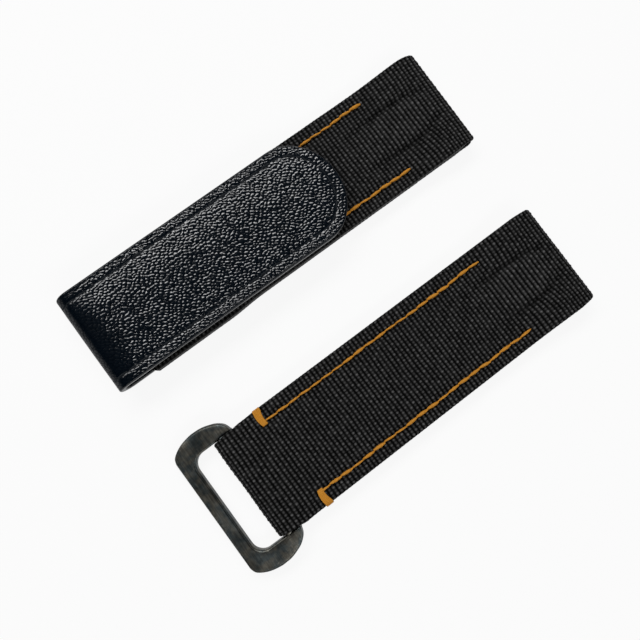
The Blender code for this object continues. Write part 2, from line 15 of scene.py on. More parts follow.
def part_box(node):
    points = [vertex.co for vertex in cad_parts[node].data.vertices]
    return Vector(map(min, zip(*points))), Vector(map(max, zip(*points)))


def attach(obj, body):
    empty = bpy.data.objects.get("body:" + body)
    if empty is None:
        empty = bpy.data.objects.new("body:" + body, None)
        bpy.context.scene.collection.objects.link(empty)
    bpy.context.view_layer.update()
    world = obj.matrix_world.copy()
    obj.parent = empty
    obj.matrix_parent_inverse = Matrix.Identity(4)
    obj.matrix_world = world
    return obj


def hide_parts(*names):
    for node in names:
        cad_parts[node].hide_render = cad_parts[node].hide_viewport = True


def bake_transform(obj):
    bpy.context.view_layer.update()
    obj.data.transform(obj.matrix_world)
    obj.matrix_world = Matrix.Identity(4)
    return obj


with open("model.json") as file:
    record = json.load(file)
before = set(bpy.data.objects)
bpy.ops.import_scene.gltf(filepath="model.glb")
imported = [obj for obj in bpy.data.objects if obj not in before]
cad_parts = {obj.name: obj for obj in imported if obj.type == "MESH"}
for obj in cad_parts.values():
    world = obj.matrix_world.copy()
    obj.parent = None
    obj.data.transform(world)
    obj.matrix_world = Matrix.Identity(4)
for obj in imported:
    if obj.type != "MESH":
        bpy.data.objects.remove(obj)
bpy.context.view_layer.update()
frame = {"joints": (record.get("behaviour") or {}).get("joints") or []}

bl_info = {
    "name": "Hook and Loop Watch Strap",
    "version": (1, 0, 0),
    "blender": (4, 5, 0),
    "location": "3D View > Sidebar > Watch Strap",
    "description": "Builds the finish of a two-part woven watch strap around its packed frame",
    "category": "Add Mesh",
}

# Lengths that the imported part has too
FABRIC = 0.0009
LAYER_GAP = 0.0002
LEATHER = 0.0012
LEATHER_EDGE = 0.00028
BORE_RADIUS = 0.0010
CASE_RAMP = 0.0130
RING_RAMP = 0.0060
RING_REAR = 0.0022
RING_TAIL = 0.0075
RING_LOOP_NARROWING = 0.0006
TONGUE_TIP_DEPTH = 0.0080
SEAM_INSET = 0.0025
SEAM_START = 0.0135
TACK_FROM_FRONT = 0.0096

# Lengths that only this finish has
FABRIC_EDGE = 0.00042
FABRIC_RIM = 0.00022
CASE_CORNER = 0.00026
CASE_CORNER_REACH = 0.0046
CASE_ROUND = 0.0006
CASE_SKEW = {"hook_half": (0.00006, 0.00024), "ring_half": (-0.00012, 0.00016)}
CASE_SKEW_REACH = 0.0120
CREASE_OFFSET = 0.0039
CREASE_REACH = 0.0230
WRAP_END = 0.0004
EDGE_SEAM_INSET = 0.0019
LEATHER_STEP = 0.00016
FLOOR_LEVEL = -0.00012

# Steps of the grid to a yarn, columns of the leather's outer face to one of its inner face, rows
# of the ring that its rounded ends take up, cells of the noise tables, and points on a line of a
# seam
YARN_STEPS = 4
LEATHER_FAN = 7
RING_END_ROWS = 12
NOISE_TABLE = 97
CELL_TABLE = 89
SEAM_POINTS = 80
BOX_SEAM_POINTS = 40

# Tones of the cloth and the leather where their relief is faded out; elsewhere the tone paints shade into
# the gaps of the weave and the creases of the grain
PLAIN_CLOTH_TONE = 0.42
PLAIN_LEATHER_TONE = 0.62

# Camera, from the straight edges of both halves in the photograph
CAMERA_PLACE = (-0.0157673, -0.0071614, 0.1058052)
CAMERA_RIGHT = (0.80018, -0.59777, 0.04886)
CAMERA_UP = (0.5897, 0.79901, 0.1176)
CAMERA_LENS = 33.75
CAMERA_SENSOR = 36.0

# Place, width and height of the two lights
WINDOW_LIGHT = ((0.03, 0.36, 0.40), 0.66, 0.19)
FILL_LIGHT = ((-0.05, -0.36, 0.36), 0.60, 0.14)

# Outer edge of the keeper ring, front to rear: share of the way from the front face to the rear
# face, and share of the arm's width outside the slot
RING_EDGE_SHARES = (
    (0.000, 0.260),
    (0.035, 0.529),
    (0.135, 0.753),
    (0.260, 0.908),
    (0.410, 0.994),
    (0.500, 1.000),
    (0.620, 0.971),
    (0.740, 0.864),
    (0.850, 0.719),
    (0.945, 0.472),
    (1.000, 0.125),
)


def length(name, description, default):
    """A length in metres that a user can change."""
    return bpy.props.FloatProperty(
        name=name, description=description, default=default, min=0.0, unit="LENGTH", precision=6
    )


def share(name, description, default):
    """A share from 0 to 1 that a user can change."""
    return bpy.props.FloatProperty(
        name=name, description=description, default=default, min=0.0, max=1.0, subtype="FACTOR"
    )


def colour(name, description, default):
    """A colour that a user can change."""
    return bpy.props.FloatVectorProperty(
        name=name, description=description, default=default, min=0.0, max=1.0, subtype="COLOR", size=3
    )


def power(name, description, default):
    """Power of a light in watts that a user can change."""
    return bpy.props.FloatProperty(name=name, description=description, default=default, min=0.0)


class WeaveSettings(bpy.types.PropertyGroup):
    """Yarns of the woven uppers."""

    weft_pitch: length("Weft pitch", "Spacing of the yarns that run across the strap", 0.000813)
    warp_pitch: length("Warp pitch", "Spacing of the yarns that run along the strap", 0.00058)
    row_height: length("Row height", "Depth of the grooves between the crosswise rows", 0.00020)
    yarn_height: length("Yarn height", "Depth of the gaps between the lengthwise yarns", 0.00008)
    crimp: length("Crimp", "How far a yarn rises and dips from crossing to crossing", 0.00003)
    wander: length("Wander", "How far the crosswise rows wander along the strap", 0.00010)
    pull: length("Pull", "How far the rows are pulled towards the case end beside its middle", 0.00060)
    slant: bpy.props.FloatProperty(
        name="Slant",
        description="Angle between the lengthwise yarns and the strap",
        default=math.radians(4.5),
        subtype="ANGLE",
    )
    seam_groove: length("Seam groove", "How deep the orange seams draw the fabric in", 0.00016)
    valley: length("Crease", "Depth of the creases beside the raised middle of the case end", 0.00022)
    raised: length("Raised middle", "Height of the raised middle of the case end", 0.00026)
    # Yarn and shade paint the shade of the weave: yarn on the tops of the yarns, shade in the gaps
    # between them
    yarn: colour("Yarn", "Colour of the black nylon", (0.154, 0.153, 0.153))
    shade: colour("Shade", "Colour between the yarns", (0.0018, 0.0018, 0.0018))


class LeatherSettings(bpy.types.PropertyGroup):
    """Grain of the leather tongue."""

    grain: length("Grain", "Size of a pebble of the grain", 0.00062)
    grain_depth: length("Grain depth", "Height of the pebbles", 0.00016)
    seam_groove: length("Seam groove", "How deep the edge seam draws the leather in", 0.00011)
    # Skin and crease paint the shade of the grain: skin on the pebbles, crease in the creases between
    # them
    skin: colour("Skin", "Colour of the pebbles", (0.0008, 0.0038, 0.0080))
    crease: colour("Crease", "Colour between the pebbles", (0.0003, 0.0004, 0.0006))
    roughness: share("Roughness", "Roughness of the polished skin", 0.25)


class ThreadSettings(bpy.types.PropertyGroup):
    """Sewing threads."""

    seam_diameter: length("Seam thread", "Diameter of the orange thread", 0.00048)
    seam_pitch: length("Seam stitch", "Length of an orange stitch", 0.0023)
    edge_diameter: length("Edge thread", "Diameter of the black thread", 0.00048)
    edge_pitch: length("Edge stitch", "Length of a black stitch", 0.0022)
    orange: colour("Orange", "Colour of the seams on the fabric", (0.560, 0.215, 0.010))
    pale_orange: colour(
        "Pale orange", "Colour of the thread where it catches the light", (0.66, 0.29, 0.035)
    )
    black: colour("Black", "Colour of the seams on the leather", (0.006, 0.009, 0.013))


class ClosureSettings(bpy.types.PropertyGroup):
    """Hooks and loops under the tongue."""

    hook_pitch: length("Hook pitch", "Spacing of the hooks along the tongue", 0.00110)
    hook_height: length("Hook height", "Height of a hook", 0.00045)
    loop_radius: length("Loop radius", "Radius of a loop of the pile", 0.00020)
    loop_count: bpy.props.IntProperty(
        name="Loops", description="Number of loops on the loop tape", default=1500, min=10
    )


class RingSettings(bpy.types.PropertyGroup):
    """Keeper ring."""

    thickness: length("Thickness", "Thickness of the ring's frame", 0.0019)
    edge_round: length("Edge round", "Radius of the ring's softened edges", 0.00045)
    slot_reach: length("Slot reach", "Distance from the ring's bar to the far side of its slot", 0.0063)
    front_bar: length("Front bar", "Width of the ring's front bar", 0.0025)
    rear: length("Rear", "Distance from the ring's bar to its rear ends", RING_REAR)
    arm: length("Arm", "Width of the ring's arms", 0.0036)
    slot_corner: length("Slot corner", "Corner radius of the slot", 0.0022)
    bar_diameter: length("Bar", "Diameter of the ring's inner bar", 0.0017)
    metal: colour("Metal", "Colour of the gunmetal", (0.123, 0.144, 0.146))
    patina: colour("Patina", "Brown clouds on the gunmetal", (0.221, 0.212, 0.181))


class StageSettings(bpy.types.PropertyGroup):
    """Floor, light and camera."""

    floor_size: length("Floor", "Width of the floor", 2.0)
    window_power: power("Window power", "Power of the main light, behind the strap", 2.1)
    fill_power: power("Fill power", "Power of the second light, in front of the strap", 0.85)
    surround: share("Surround", "Level of the light from all sides", 0.12)
    overhead: share("Overhead", "Level that gloss shows of the room straight above", 0.03)
    floor_glow: share("Floor glow", "Share of plain white in what the camera sees of the floor", 0.90)


class StrapSettings(bpy.types.PropertyGroup):
    """All settings of the strap."""

    weave: bpy.props.PointerProperty(type=WeaveSettings)
    leather: bpy.props.PointerProperty(type=LeatherSettings)
    thread: bpy.props.PointerProperty(type=ThreadSettings)
    closure: bpy.props.PointerProperty(type=ClosureSettings)
    ring: bpy.props.PointerProperty(type=RingSettings)
    stage: bpy.props.PointerProperty(type=StageSettings)


def settings():
    """The settings in the open scene."""
    return bpy.context.scene.watch_strap


# Surfaces and noise as whole arrays


def eased(value):
    """Share from 0 to 1 with level ends: 3 t squared minus 2 t cubed."""
    t = np.clip(value, 0, 1)
    return t * t * (3 - 2 * t)


def bell(value, width):
    """Bell curve: e to the minus square of value over width."""
    return np.exp(-((value / width) ** 2))


def drawn_in(share_out):
    """How far a quarter circle draws in: 1 minus the root of 1 minus the share squared."""
    return 1 - np.sqrt(np.clip(1 - share_out**2, 0, 1))


def numbered(shape, first=0):
    """Numbers of the vertices of a grid, row by row, counted on from first."""
    return first + np.arange(shape[0] * shape[1]).reshape(shape)


def value_noise(x, y, cell, seed):
    """Random heights from -1 to 1 on a square lattice, eased between its corners."""
    table = np.random.default_rng(seed).uniform(-1, 1, (NOISE_TABLE, NOISE_TABLE))
    column, row = np.floor(x / cell).astype(int), np.floor(y / cell).astype(int)
    u, v = eased(x / cell - column), eased(y / cell - row)

    def corner(right, up):
        """Height at a corner of the square that a place lies in."""
        return table[(column + right) % NOISE_TABLE, (row + up) % NOISE_TABLE]

    near = corner(0, 0) * (1 - u) + corner(1, 0) * u
    far = corner(0, 1) * (1 - u) + corner(1, 1) * u
    return near * (1 - v) + far * v


def cells(x, y, cell, seed):
    """Distances, in cells, to the nearest and the second nearest of points scattered one to a cell."""
    table = np.random.default_rng(seed).uniform(0.12, 0.88, (CELL_TABLE, CELL_TABLE, 2))
    column, row = np.floor(x / cell).astype(int), np.floor(y / cell).astype(int)
    nearest = np.full(np.shape(x), np.inf)
    second = nearest.copy()
    for right in (-1, 0, 1):
        for up in (-1, 0, 1):
            point = table[(column + right) % CELL_TABLE, (row + up) % CELL_TABLE]
            gap = np.hypot(column + right + point[..., 0] - x / cell, row + up + point[..., 1] - y / cell)
            second = np.minimum(second, np.maximum(nearest, gap))
            nearest = np.minimum(nearest, gap)
    return nearest, second


def grid_quads(index, closed_columns=False):
    """Quads between neighbouring rows and columns of an array of vertex indices."""
    if closed_columns:
        index = np.hstack([index, index[:, :1]])
    corners = (index[:-1, :-1], index[1:, :-1], index[1:, 1:], index[:-1, 1:])
    return np.stack(corners, -1).reshape(-1, 4)


def mesh_object(name, points, quads, triangles=(), caps=(), values=None, coordinates=None):
    """A mesh from arrays. Faces are turned round together if they enclose a negative volume.

    The volume is the sum, over all triangles, of the corners' triple product over six."""
    points = np.asarray(points, float).reshape(-1, 3)
    faces = [np.asarray(quads, int).reshape(-1, 4), np.asarray(triangles, int).reshape(-1, 3)]
    a, b, c, d = (points[faces[0][:, k]] for k in range(4))
    volume = np.sum(np.cross(a, b) * c) + np.sum(np.cross(a, c) * d)
    if volume < 0:
        faces = [f[:, ::-1] for f in faces]
    else:
        caps = [cap[::-1] for cap in caps]
    corners = np.concatenate([*(f.ravel() for f in faces), *caps]).astype(np.int32)
    sizes = np.concatenate([*(np.full(len(f), f.shape[1]) for f in faces), [len(c) for c in caps]])
    starts = np.concatenate([[0], np.cumsum(sizes)[:-1]]).astype(np.int32)
    mesh = bpy.data.meshes.new(name)
    mesh.vertices.add(len(points))
    mesh.vertices.foreach_set("co", points.astype(np.float32).ravel())
    mesh.loops.add(len(corners))
    mesh.loops.foreach_set("vertex_index", corners)
    mesh.polygons.add(len(starts))
    mesh.polygons.foreach_set("loop_start", starts)
    mesh.update(calc_edges=True)
    mesh.validate()
    for key, array in (values or {}).items():
        layer = mesh.attributes.new(key, "FLOAT", "POINT")
        layer.data.foreach_set("value", np.asarray(array, np.float32).ravel())
    if coordinates is not None:
        corner = np.empty(len(mesh.loops), np.int32)
        mesh.loops.foreach_get("vertex_index", corner)
        layer = mesh.uv_layers.new(name="cloth")
        layer.uv.foreach_set("vector", coordinates.reshape(-1, 2)[corner].astype(np.float32).ravel())
    mesh.shade_smooth()
    obj = bpy.data.objects.new(name, mesh)
    bpy.context.scene.collection.objects.link(obj)
    return obj


def finish_piece(obj, material, nodes, body):
    """Gives a piece its material and its body, and hides the CAD nodes that it stands for."""
    obj.data.materials.append(material)
    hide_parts(*nodes)
    if body:
        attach(obj, body)
    return obj


def copies(points, quads, places, frames):
    """Copies of one small mesh: each is its points times a 3 x 3 frame, plus its place."""
    placed = np.einsum("kj,nij->nki", points, frames) + places[:, None]
    shifted = quads[None] + (np.arange(len(places)) * len(points))[:, None, None]
    return placed.reshape(-1, 3), shifted.reshape(-1, 4)


def section(half_width, depth, wall, face_depth, edge, rim, counts, spread=None):
    """Closed cross-section of a layer whose sides turn down, for every row at once.

    From the middle of the outer face: out to the edge, round a quarter circle of radius edge, down
    the side, round a quarter circle of radius rim, in along the rim, up the wall's inner side and
    back along the inner face. The other half mirrors it. Returns side place, depth, outward
    direction (side, depth), distance round the section and weight of the relief, rows x columns.
    """
    half_width, depth, edge = (np.reshape(v, (-1, 1)) for v in (half_width, depth, edge))
    rows = len(half_width + depth)
    face, corner, side, low_corner, low, inner, back = (
        np.linspace(0, 1, n + 1)[None, 1:] if n else np.zeros((1, 0)) for n in counts
    )
    spread = spread or (lambda t: t)
    face = spread(np.hstack([[[0.0]], face]))
    back = 1 - spread(1 - back)
    a, b = corner * math.pi / 2, low_corner * math.pi / 2
    flat = half_width - edge
    reach = flat + edge * math.pi / 2
    down = edge + side * (depth - rim - edge)
    low_start = reach + depth - rim - edge
    rim_side, rim_depth = half_width - rim + rim * np.cos(b), depth - rim + rim * np.sin(b)
    in_side, in_depth = half_width - rim - low * (wall - rim), depth - inner * (depth - face_depth)
    low_run = low_start + rim * math.pi / 2 + low * (wall - rim)
    # Each stretch of the section: its steps, then the six values in the order they are returned
    blocks = (
        (face, flat * face, 0, 0, -1, flat * face, 1),
        (a, flat + edge * np.sin(a), edge * (1 - np.cos(a)), np.sin(a), -np.cos(a), flat + edge * a, 1),
        (side, half_width, down, 1, 0, reach + down - edge, 1),
        (b, rim_side, rim_depth, np.cos(b), np.sin(b), low_start + rim * b, 1 - 0.3 * low_corner),
        (low, in_side, depth, 0, 1, low_run, 0.7 * (1 - low)),
        (inner, half_width - wall, in_depth, -1, 0, low_start + wall, 0),
        (back, (half_width - wall) * (1 - back), face_depth, 0, 1, low_start + wall, 0),
    )
    parts = [
        np.hstack([np.broadcast_to(block[k], (rows, block[0].shape[1])) for block in blocks])
        for k in range(1, 7)
    ]
    signs = (-1, 1, -1, 1, -1, 1)
    return [np.hstack([part, sign * part[:, -2:0:-1]]) for part, sign in zip(parts, signs)]


def swept(name, points, run, q, values=None):
    """A closed piece from sections in rows, capped at both ends.

    Its cloth coordinates are the distance along the rows and the distance round the section."""
    index = numbered(q.shape)
    return mesh_object(
        name,
        points,
        grid_quads(index, closed_columns=True),
        caps=(index[0][::-1], index[-1]),
        values=values,
        coordinates=np.stack([run + 0 * q, q], -1),
    )


# Places of the two halves


class Half:
    """Sizes of one woven half, read from its CAD nodes."""

    def __init__(self, name):
        low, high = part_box(name + "_fabric")
        lining_low, lining_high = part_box(name + "_lining")
        filler_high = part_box(name + "_filler")[1]
        self.name = name
        self.case_end = high.x
        self.middle = (low.y + high.y) / 2
        self.length = high.x - low.x
        self.half_width = (high.y - low.y) / 2
        self.loop_radius = high.z / 2
        self.body_top = filler_high.z + LAYER_GAP + FABRIC
        self.tail_end = high.x - lining_high.x - LAYER_GAP
        self.lining_end = high.x - lining_low.x
        self.has_ring = name == "ring_half"
        self.bar_along = self.length - self.loop_radius
        self.ring_tail_end = self.bar_along - RING_TAIL

    def height(self, along):
        """Height of the upper face, which climbs over the spring bar and over the ring's bar."""
        rise = 2 * self.loop_radius - self.body_top
        top = self.body_top + rise * eased((self.loop_radius + CASE_RAMP - along) / CASE_RAMP)
        if self.has_ring:
            top = top + rise * eased((along - self.bar_along + RING_RAMP) / RING_RAMP)
        return top

    def width(self, along):
        """Half width, drawn in a little at the case end and between the ring's arms."""
        round_end = CASE_ROUND - np.clip(along, 0, CASE_ROUND)
        near = CASE_CORNER * eased((CASE_CORNER_REACH - along) / CASE_CORNER_REACH)
        near = near + CASE_ROUND - np.sqrt(CASE_ROUND**2 - round_end**2)
        if not self.has_ring:
            return self.half_width - near
        neck = self.bar_along - RING_REAR
        shoulder = 0.3 * eased((along - neck + 0.0014) / 0.0014)
        drawn = shoulder + 0.62 * np.clip((along - neck) / (self.length - neck), 0, 1)
        return self.half_width - near - RING_LOOP_NARROWING * drawn

    def skewed(self, along, side):
        """Along, sheared a little over the last 12 mm, so that the case end isn't quite square."""
        base, lean = CASE_SKEW[self.name]
        near_case = eased((CASE_SKEW_REACH - along) / CASE_SKEW_REACH)
        return along - (base + lean * side / self.half_width) * near_case

    def swayed(self, along, side):
        """Side, let out a little where the photographed fabric is wider than its pattern."""
        out = np.clip(side / self.half_width, -1, 1)
        if self.has_ring:
            near_bar = eased((along - self.bar_along + 0.0035) / 0.0025)
            before_bar = eased((self.bar_along - 0.004 - along) / 0.004)
            grown = 0.00014 * np.clip(out, 0, None) ** 2 * before_bar
            return side + grown + 0.00014 * near_bar
        near_fold = eased((along - 0.0480) / 0.0070)
        near_fold = near_fold * eased((self.length - 0.0001 - along) / 0.0006)
        near_case = eased((0.0034 - along) / 0.0034)
        return side - 0.00034 * np.clip(-out, 0, None) ** 2 * near_fold - 0.00026 * near_case

    def place(self, along, side, height):
        """Points in the part's frame."""
        return np.stack([self.case_end - along, self.middle + side, height + 0 * along], -1)

    def span(self, node):
        """Start and end of a CAD node along this half, its half width, and its two levels."""
        low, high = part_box(node)
        return self.case_end - high.x, self.case_end - low.x, (high.y - low.y) / 2, low.z, high.z

    def wrap(self, step):
        """Outer face of the fabric in the side view: free end, top, spring bar tunnel and tail.

        Rows of along, height, inward direction (along, height) and side depth. The side of a layer
        reaches half way to the next layer, round the bores, and to the floor past the tail."""
        radius = self.loop_radius
        tail = self.ring_tail_end if self.has_ring else math.inf

        def run(start, end, upper):
            """Rows of a straight run, whose depth ends on a bore's circle, found by Pythagoras."""
            along = np.linspace(start, end, max(3, round(abs(end - start) / step)) + 1)
            top = self.height(along)
            offset = along - radius
            if self.has_ring:
                offset = np.minimum(offset, self.bar_along - along)
            bore = np.sqrt(np.clip(BORE_RADIUS**2 - offset**2, 0, None))
            if upper:
                open_below = eased((along - self.tail_end) / LAYER_GAP) * (along < tail)
                depth = np.where(offset < BORE_RADIUS, top - radius - bore, top / 2 * (1 + open_below))
                return along, top, 0 * along, 0 * along - 1, depth
            depth = np.where(offset < BORE_RADIUS, radius - bore, top / 2)
            return along, 0 * top, 0 * along, 0 * along + 1, depth

        def turn(centre, start, end):
            """Rows of a half turn round a bore: cosine and sine of the angle, given in degrees."""
            angle = np.radians(np.linspace(start, end, round(math.pi * radius / step) + 1))
            across, up = np.cos(angle), np.sin(angle)
            return centre + radius * across, radius + radius * up, -across, -up, FABRIC + 0 * angle

        if self.has_ring:
            parts = [
                run(self.ring_tail_end, self.bar_along, False),
                turn(self.bar_along, -90, 90),
                run(self.bar_along, radius, True),
            ]
        else:
            parts = [run(self.length, radius, True)]
        parts += [turn(radius, 90, 270), run(radius, self.tail_end, False)]
        rows = [np.concatenate([parts[0][k], *(part[k][1:] for part in parts[1:])]) for k in range(5)]
        rows[4] = np.maximum(rows[4], FABRIC)
        return rows


def weave(row, q, ridge, look):
    """Relief of the coarse weave, up to 0, tone of the yarns, which is painted shade, and 1 where a
    lengthwise yarn is on top.

    Crosswise rows are cosines along the strap, to the power 1.1. Over them go the lengthwise yarns,
    cosines across the strap to the power 0.8, which rise and dip by turns as a cosine. Where ridge
    is 1, the rows show as whole ridges."""
    s = row * look.weft_pitch
    q = q + math.tan(look.slant) * s
    j = q / look.warp_pitch
    j = j + 0.10 * value_noise(s, q, 0.004, 3) + 0.06 * value_noise(s, q, 0.0012, 5)
    weft, warp = np.round(row), np.round(j)
    crosswise = np.abs(np.cos(math.pi * (row - weft))) ** 1.1
    lengthwise = np.abs(np.cos(math.pi * (j - warp))) ** 0.8
    turns = np.cos(math.pi * (j + weft))
    fat = 1 + 0.06 * value_noise(weft * 0.01, warp * 0.01, 0.01, 9)
    height = look.row_height * crosswise + look.yarn_height * lengthwise + look.crimp * turns
    height = height * fat
    # The tone is painted shade: dark in the grooves between the rows and the gaps between the lengthwise
    # yarns, a little lighter where a yarn rises, and varied at random from crossing to crossing
    split = 0.66 - 0.30 * ridge
    tone = crosswise**0.85 * (1 - split * (1 - lengthwise**0.85)) * (0.90 + 0.10 * turns)
    tone = tone * (0.91 + 0.09 * value_noise(weft * 0.01, warp * 0.01, 0.01, 11))
    return height - look.row_height - look.yarn_height - look.crimp, tone, turns > 0


def upper_shape(half, along, side, look):
    """Slow relief of the upper: seam grooves, creases at the case end and gentle waves.

    Also gives how much a place is in a crease, and how much it is on the raised middle."""
    sewn = eased((along - SEAM_START) / 0.0008) * eased((half.length - 0.0090 - along) / 0.0010)
    pitch = settings().thread.seam_pitch
    pucker = 0.8 + 0.2 * np.cos(2 * math.pi * (along - SEAM_START) / pitch)
    from_seam = np.abs(side) - (half.half_width - SEAM_INSET)
    groove = look.seam_groove * sewn * pucker * bell(from_seam, 0.0006)
    reach = eased((CREASE_REACH - along) / 0.0120) * eased((along - 0.0010) / 0.0055)
    place = CREASE_OFFSET - 0.0012 * eased((0.0080 - along) / 0.0060)
    place = place + 0.0002 * value_noise(along, side * 0, 0.0040, 19)
    crease = reach * bell(np.abs(side) - place, 0.00050)
    middle = reach * eased((place - np.abs(side)) / 0.0016)
    waves = 0.00006 * value_noise(along, side, 0.0050, 21)
    return look.raised * middle + waves - groove - look.valley * crease, crease, middle


def woven_upper(half):
    """The fabric of a half as one closed surface: the section swept along the wrap, with its weave.

    A point is the wrap's place plus depth times its inward direction. The relief is added along the
    section's outward direction, and it is flatter on the sides, where the cloth is drawn tight. The
    ends are rounded as a quarter circle, and the rows wander and are pulled along the surface."""
    look = settings().weave
    wrap = half.wrap(look.weft_pitch / YARN_STEPS)
    along, height, in_along, in_height, depth = (v[:, None] for v in wrap)
    counts = (round(half.half_width / (look.warp_pitch / YARN_STEPS)), 4, 11, 2, 2, 1, 5)
    side, down, out_side, out_depth, q, weight = section(
        half.width(along), depth, FABRIC, FABRIC - 0.00002, FABRIC_EDGE, FABRIC_RIM, counts
    )
    steps = np.hypot(np.diff(along, axis=0), np.diff(height, axis=0))
    s = np.concatenate([[[0.0]], np.cumsum(steps, axis=0)])
    on_top = (in_height < 0) & (np.abs(out_depth) > 0.9)
    slow, crease, middle = (v * on_top for v in upper_shape(half, along + 0 * side, side, look))
    row = np.arange(len(s))[:, None] / YARN_STEPS + 0 * q
    relief, tone, warp_on_top = weave(row, q, middle, look)
    # Painted shade in the creases at the case end
    tone = tone * (1 - 0.22 * crease)
    under_tongue = (half.name == "hook_half") * eased((along - 0.0300) / 0.0040)
    pressed = np.abs(out_side) * (0.35 + 0.55 * under_tongue)
    tone = tone + (PLAIN_CLOTH_TONE - tone) * pressed
    from_end = np.minimum(s, s[-1] - s) / WRAP_END
    ends = eased(from_end)
    wander = look.wander * ends * (
        value_noise(s + 0 * q, q, 0.0050, 13) + 0.35 * value_noise(s + 0 * q, q, 0.0017, 15)
    )
    pull = eased((np.abs(side) - 0.0020) / 0.0060) * (1.0 - 0.35 * np.sign(side))
    near_case = eased((0.0150 - along) / 0.0080) * eased((along - 0.0008) / 0.0066)
    wander = wander + look.pull * pull * near_case * (in_height < -0.5)
    rounding = 0.00035 * drawn_in(1 - np.clip(from_end, 0, 1))
    flank = 1 - np.maximum(0.84, pressed) * np.sqrt(np.abs(out_side))
    lift = weight * (ends * relief * flank + slow) - rounding * (weight > 0)
    out_along, out_height = out_depth * in_along, out_depth * in_height
    points = half.place(
        half.skewed(along, side) + down * in_along + lift * out_along + wander * in_height,
        half.swayed(along, side) + lift * out_side,
        height + down * in_height + lift * out_height - wander * in_along,
    )
    # The relief value carries the tone, the weave's painted shade
    values = {"relief": np.clip(tone, 0, 1) * (weight > 0), "lengthwise": warp_on_top * 1.0}
    return swept(half.name + "_woven_upper", points, s, q, values)


def slab(name, half, span, step, counts, relief, upwards=True):
    """A flat layer of a half, whose span holds start, end, half width, bottom and top.

    Its outer face looks up, or down where upwards isn't set, and top may be a function of along.
    Rows run along the half, and each is the closed section of a plain layer. The two ends are drawn
    in along a quarter circle and closed with one face each. The relief is added outwards."""
    start, end, half_width, bottom, top = span
    along = np.linspace(start, end, max(3, round((end - start) / step)) + 1)[:, None]
    top = top(along) if callable(top) else top + 0 * along
    thickness = top - bottom
    edge = np.minimum(0.0002, thickness.min() / 3)
    side, down, out_side, out_depth, q, weight = section(
        half_width + 0 * along, thickness, edge, thickness, edge, edge, counts
    )
    from_end = np.minimum(along - start, end - along)
    rounding = edge * drawn_in(1 - np.clip(from_end / edge, 0, 1))
    lift = weight * relief(along + 0 * side, side) - rounding
    level = top - down - lift * out_depth if upwards else bottom + down + lift * out_depth
    points = half.place(along + 0 * side, side + lift * out_side, level)
    return swept(name, points, along, q)


def ribbed(pitch):
    """Relief of plain tape: ribs across it, a sine along it, 0.03 mm to either side of its middle."""
    return lambda along, side: 0.00003 * np.sin(2 * math.pi * along / pitch) - 0.00003


def lining_relief(half):
    """Fine twill of the lining, and the lines where the seams draw it in."""

    def relief(along, side):
        """A sine across the diagonal and one across the side, less a bell at the seams."""
        twill = 0.00003 * np.sin(2 * math.pi * (along + side) / 0.00085)
        rib = 0.00002 * np.sin(2 * math.pi * side / 0.00050)
        sewn = bell(np.abs(side) - (half.half_width - SEAM_INSET), 0.0005)
        return twill + rib - 0.00008 - 0.00025 * sewn

    return relief


# Leather


class Fold:
    """Path of the leather in the side view: top run, half circle, and the run that is sewn in."""

    def __init__(self, half):
        low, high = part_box("tongue_leather")
        root_low, root_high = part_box("tongue_root_leather")
        self.half = half
        self.middle = (low.y + high.y) / 2 - half.middle
        self.half_width = (high.y - low.y) / 2
        self.tip = half.case_end - high.x
        self.top = high.z
        self.bottom = root_low.z
        self.radius = (self.top - self.bottom) / 2
        self.centre = half.case_end - low.x - self.radius
        self.tuck = half.case_end - root_high.x
        self.run = self.centre - self.tip
        self.turned = self.run + math.pi * self.radius
        self.length = self.turned + self.centre - self.tuck

    def at(self, path, depth):
        """Along, height, and outward direction (along, height) at a distance along the leather."""
        angle = np.clip((path - self.run) / self.radius, 0, math.pi)
        out_along, out_height = np.sin(angle), np.cos(angle)
        along = np.minimum(path, self.run) + self.tip - np.clip(path - self.turned, 0, None)
        reach = self.radius - depth
        height = self.top - self.radius + reach * out_height
        return along + reach * out_along, height, out_along, out_height


def from_edge_seam(fold, path, side):
    """Distance from the line of the edge seam, over 0 outside it.

    Along the sides it is a plain difference. Round the tip it is the seam's ellipse: its level
    value minus one, over the length of its gradient."""
    across = fold.half_width - EDGE_SEAM_INSET
    ahead = TONGUE_TIP_DEPTH - EDGE_SEAM_INSET
    u = np.clip(TONGUE_TIP_DEPTH - path, 0, None) / ahead
    v = side / across
    level = np.hypot(u, v) + 1e-9
    slope = np.hypot(u / ahead, v / across) / level + 1e-9
    return (level - 1) / slope


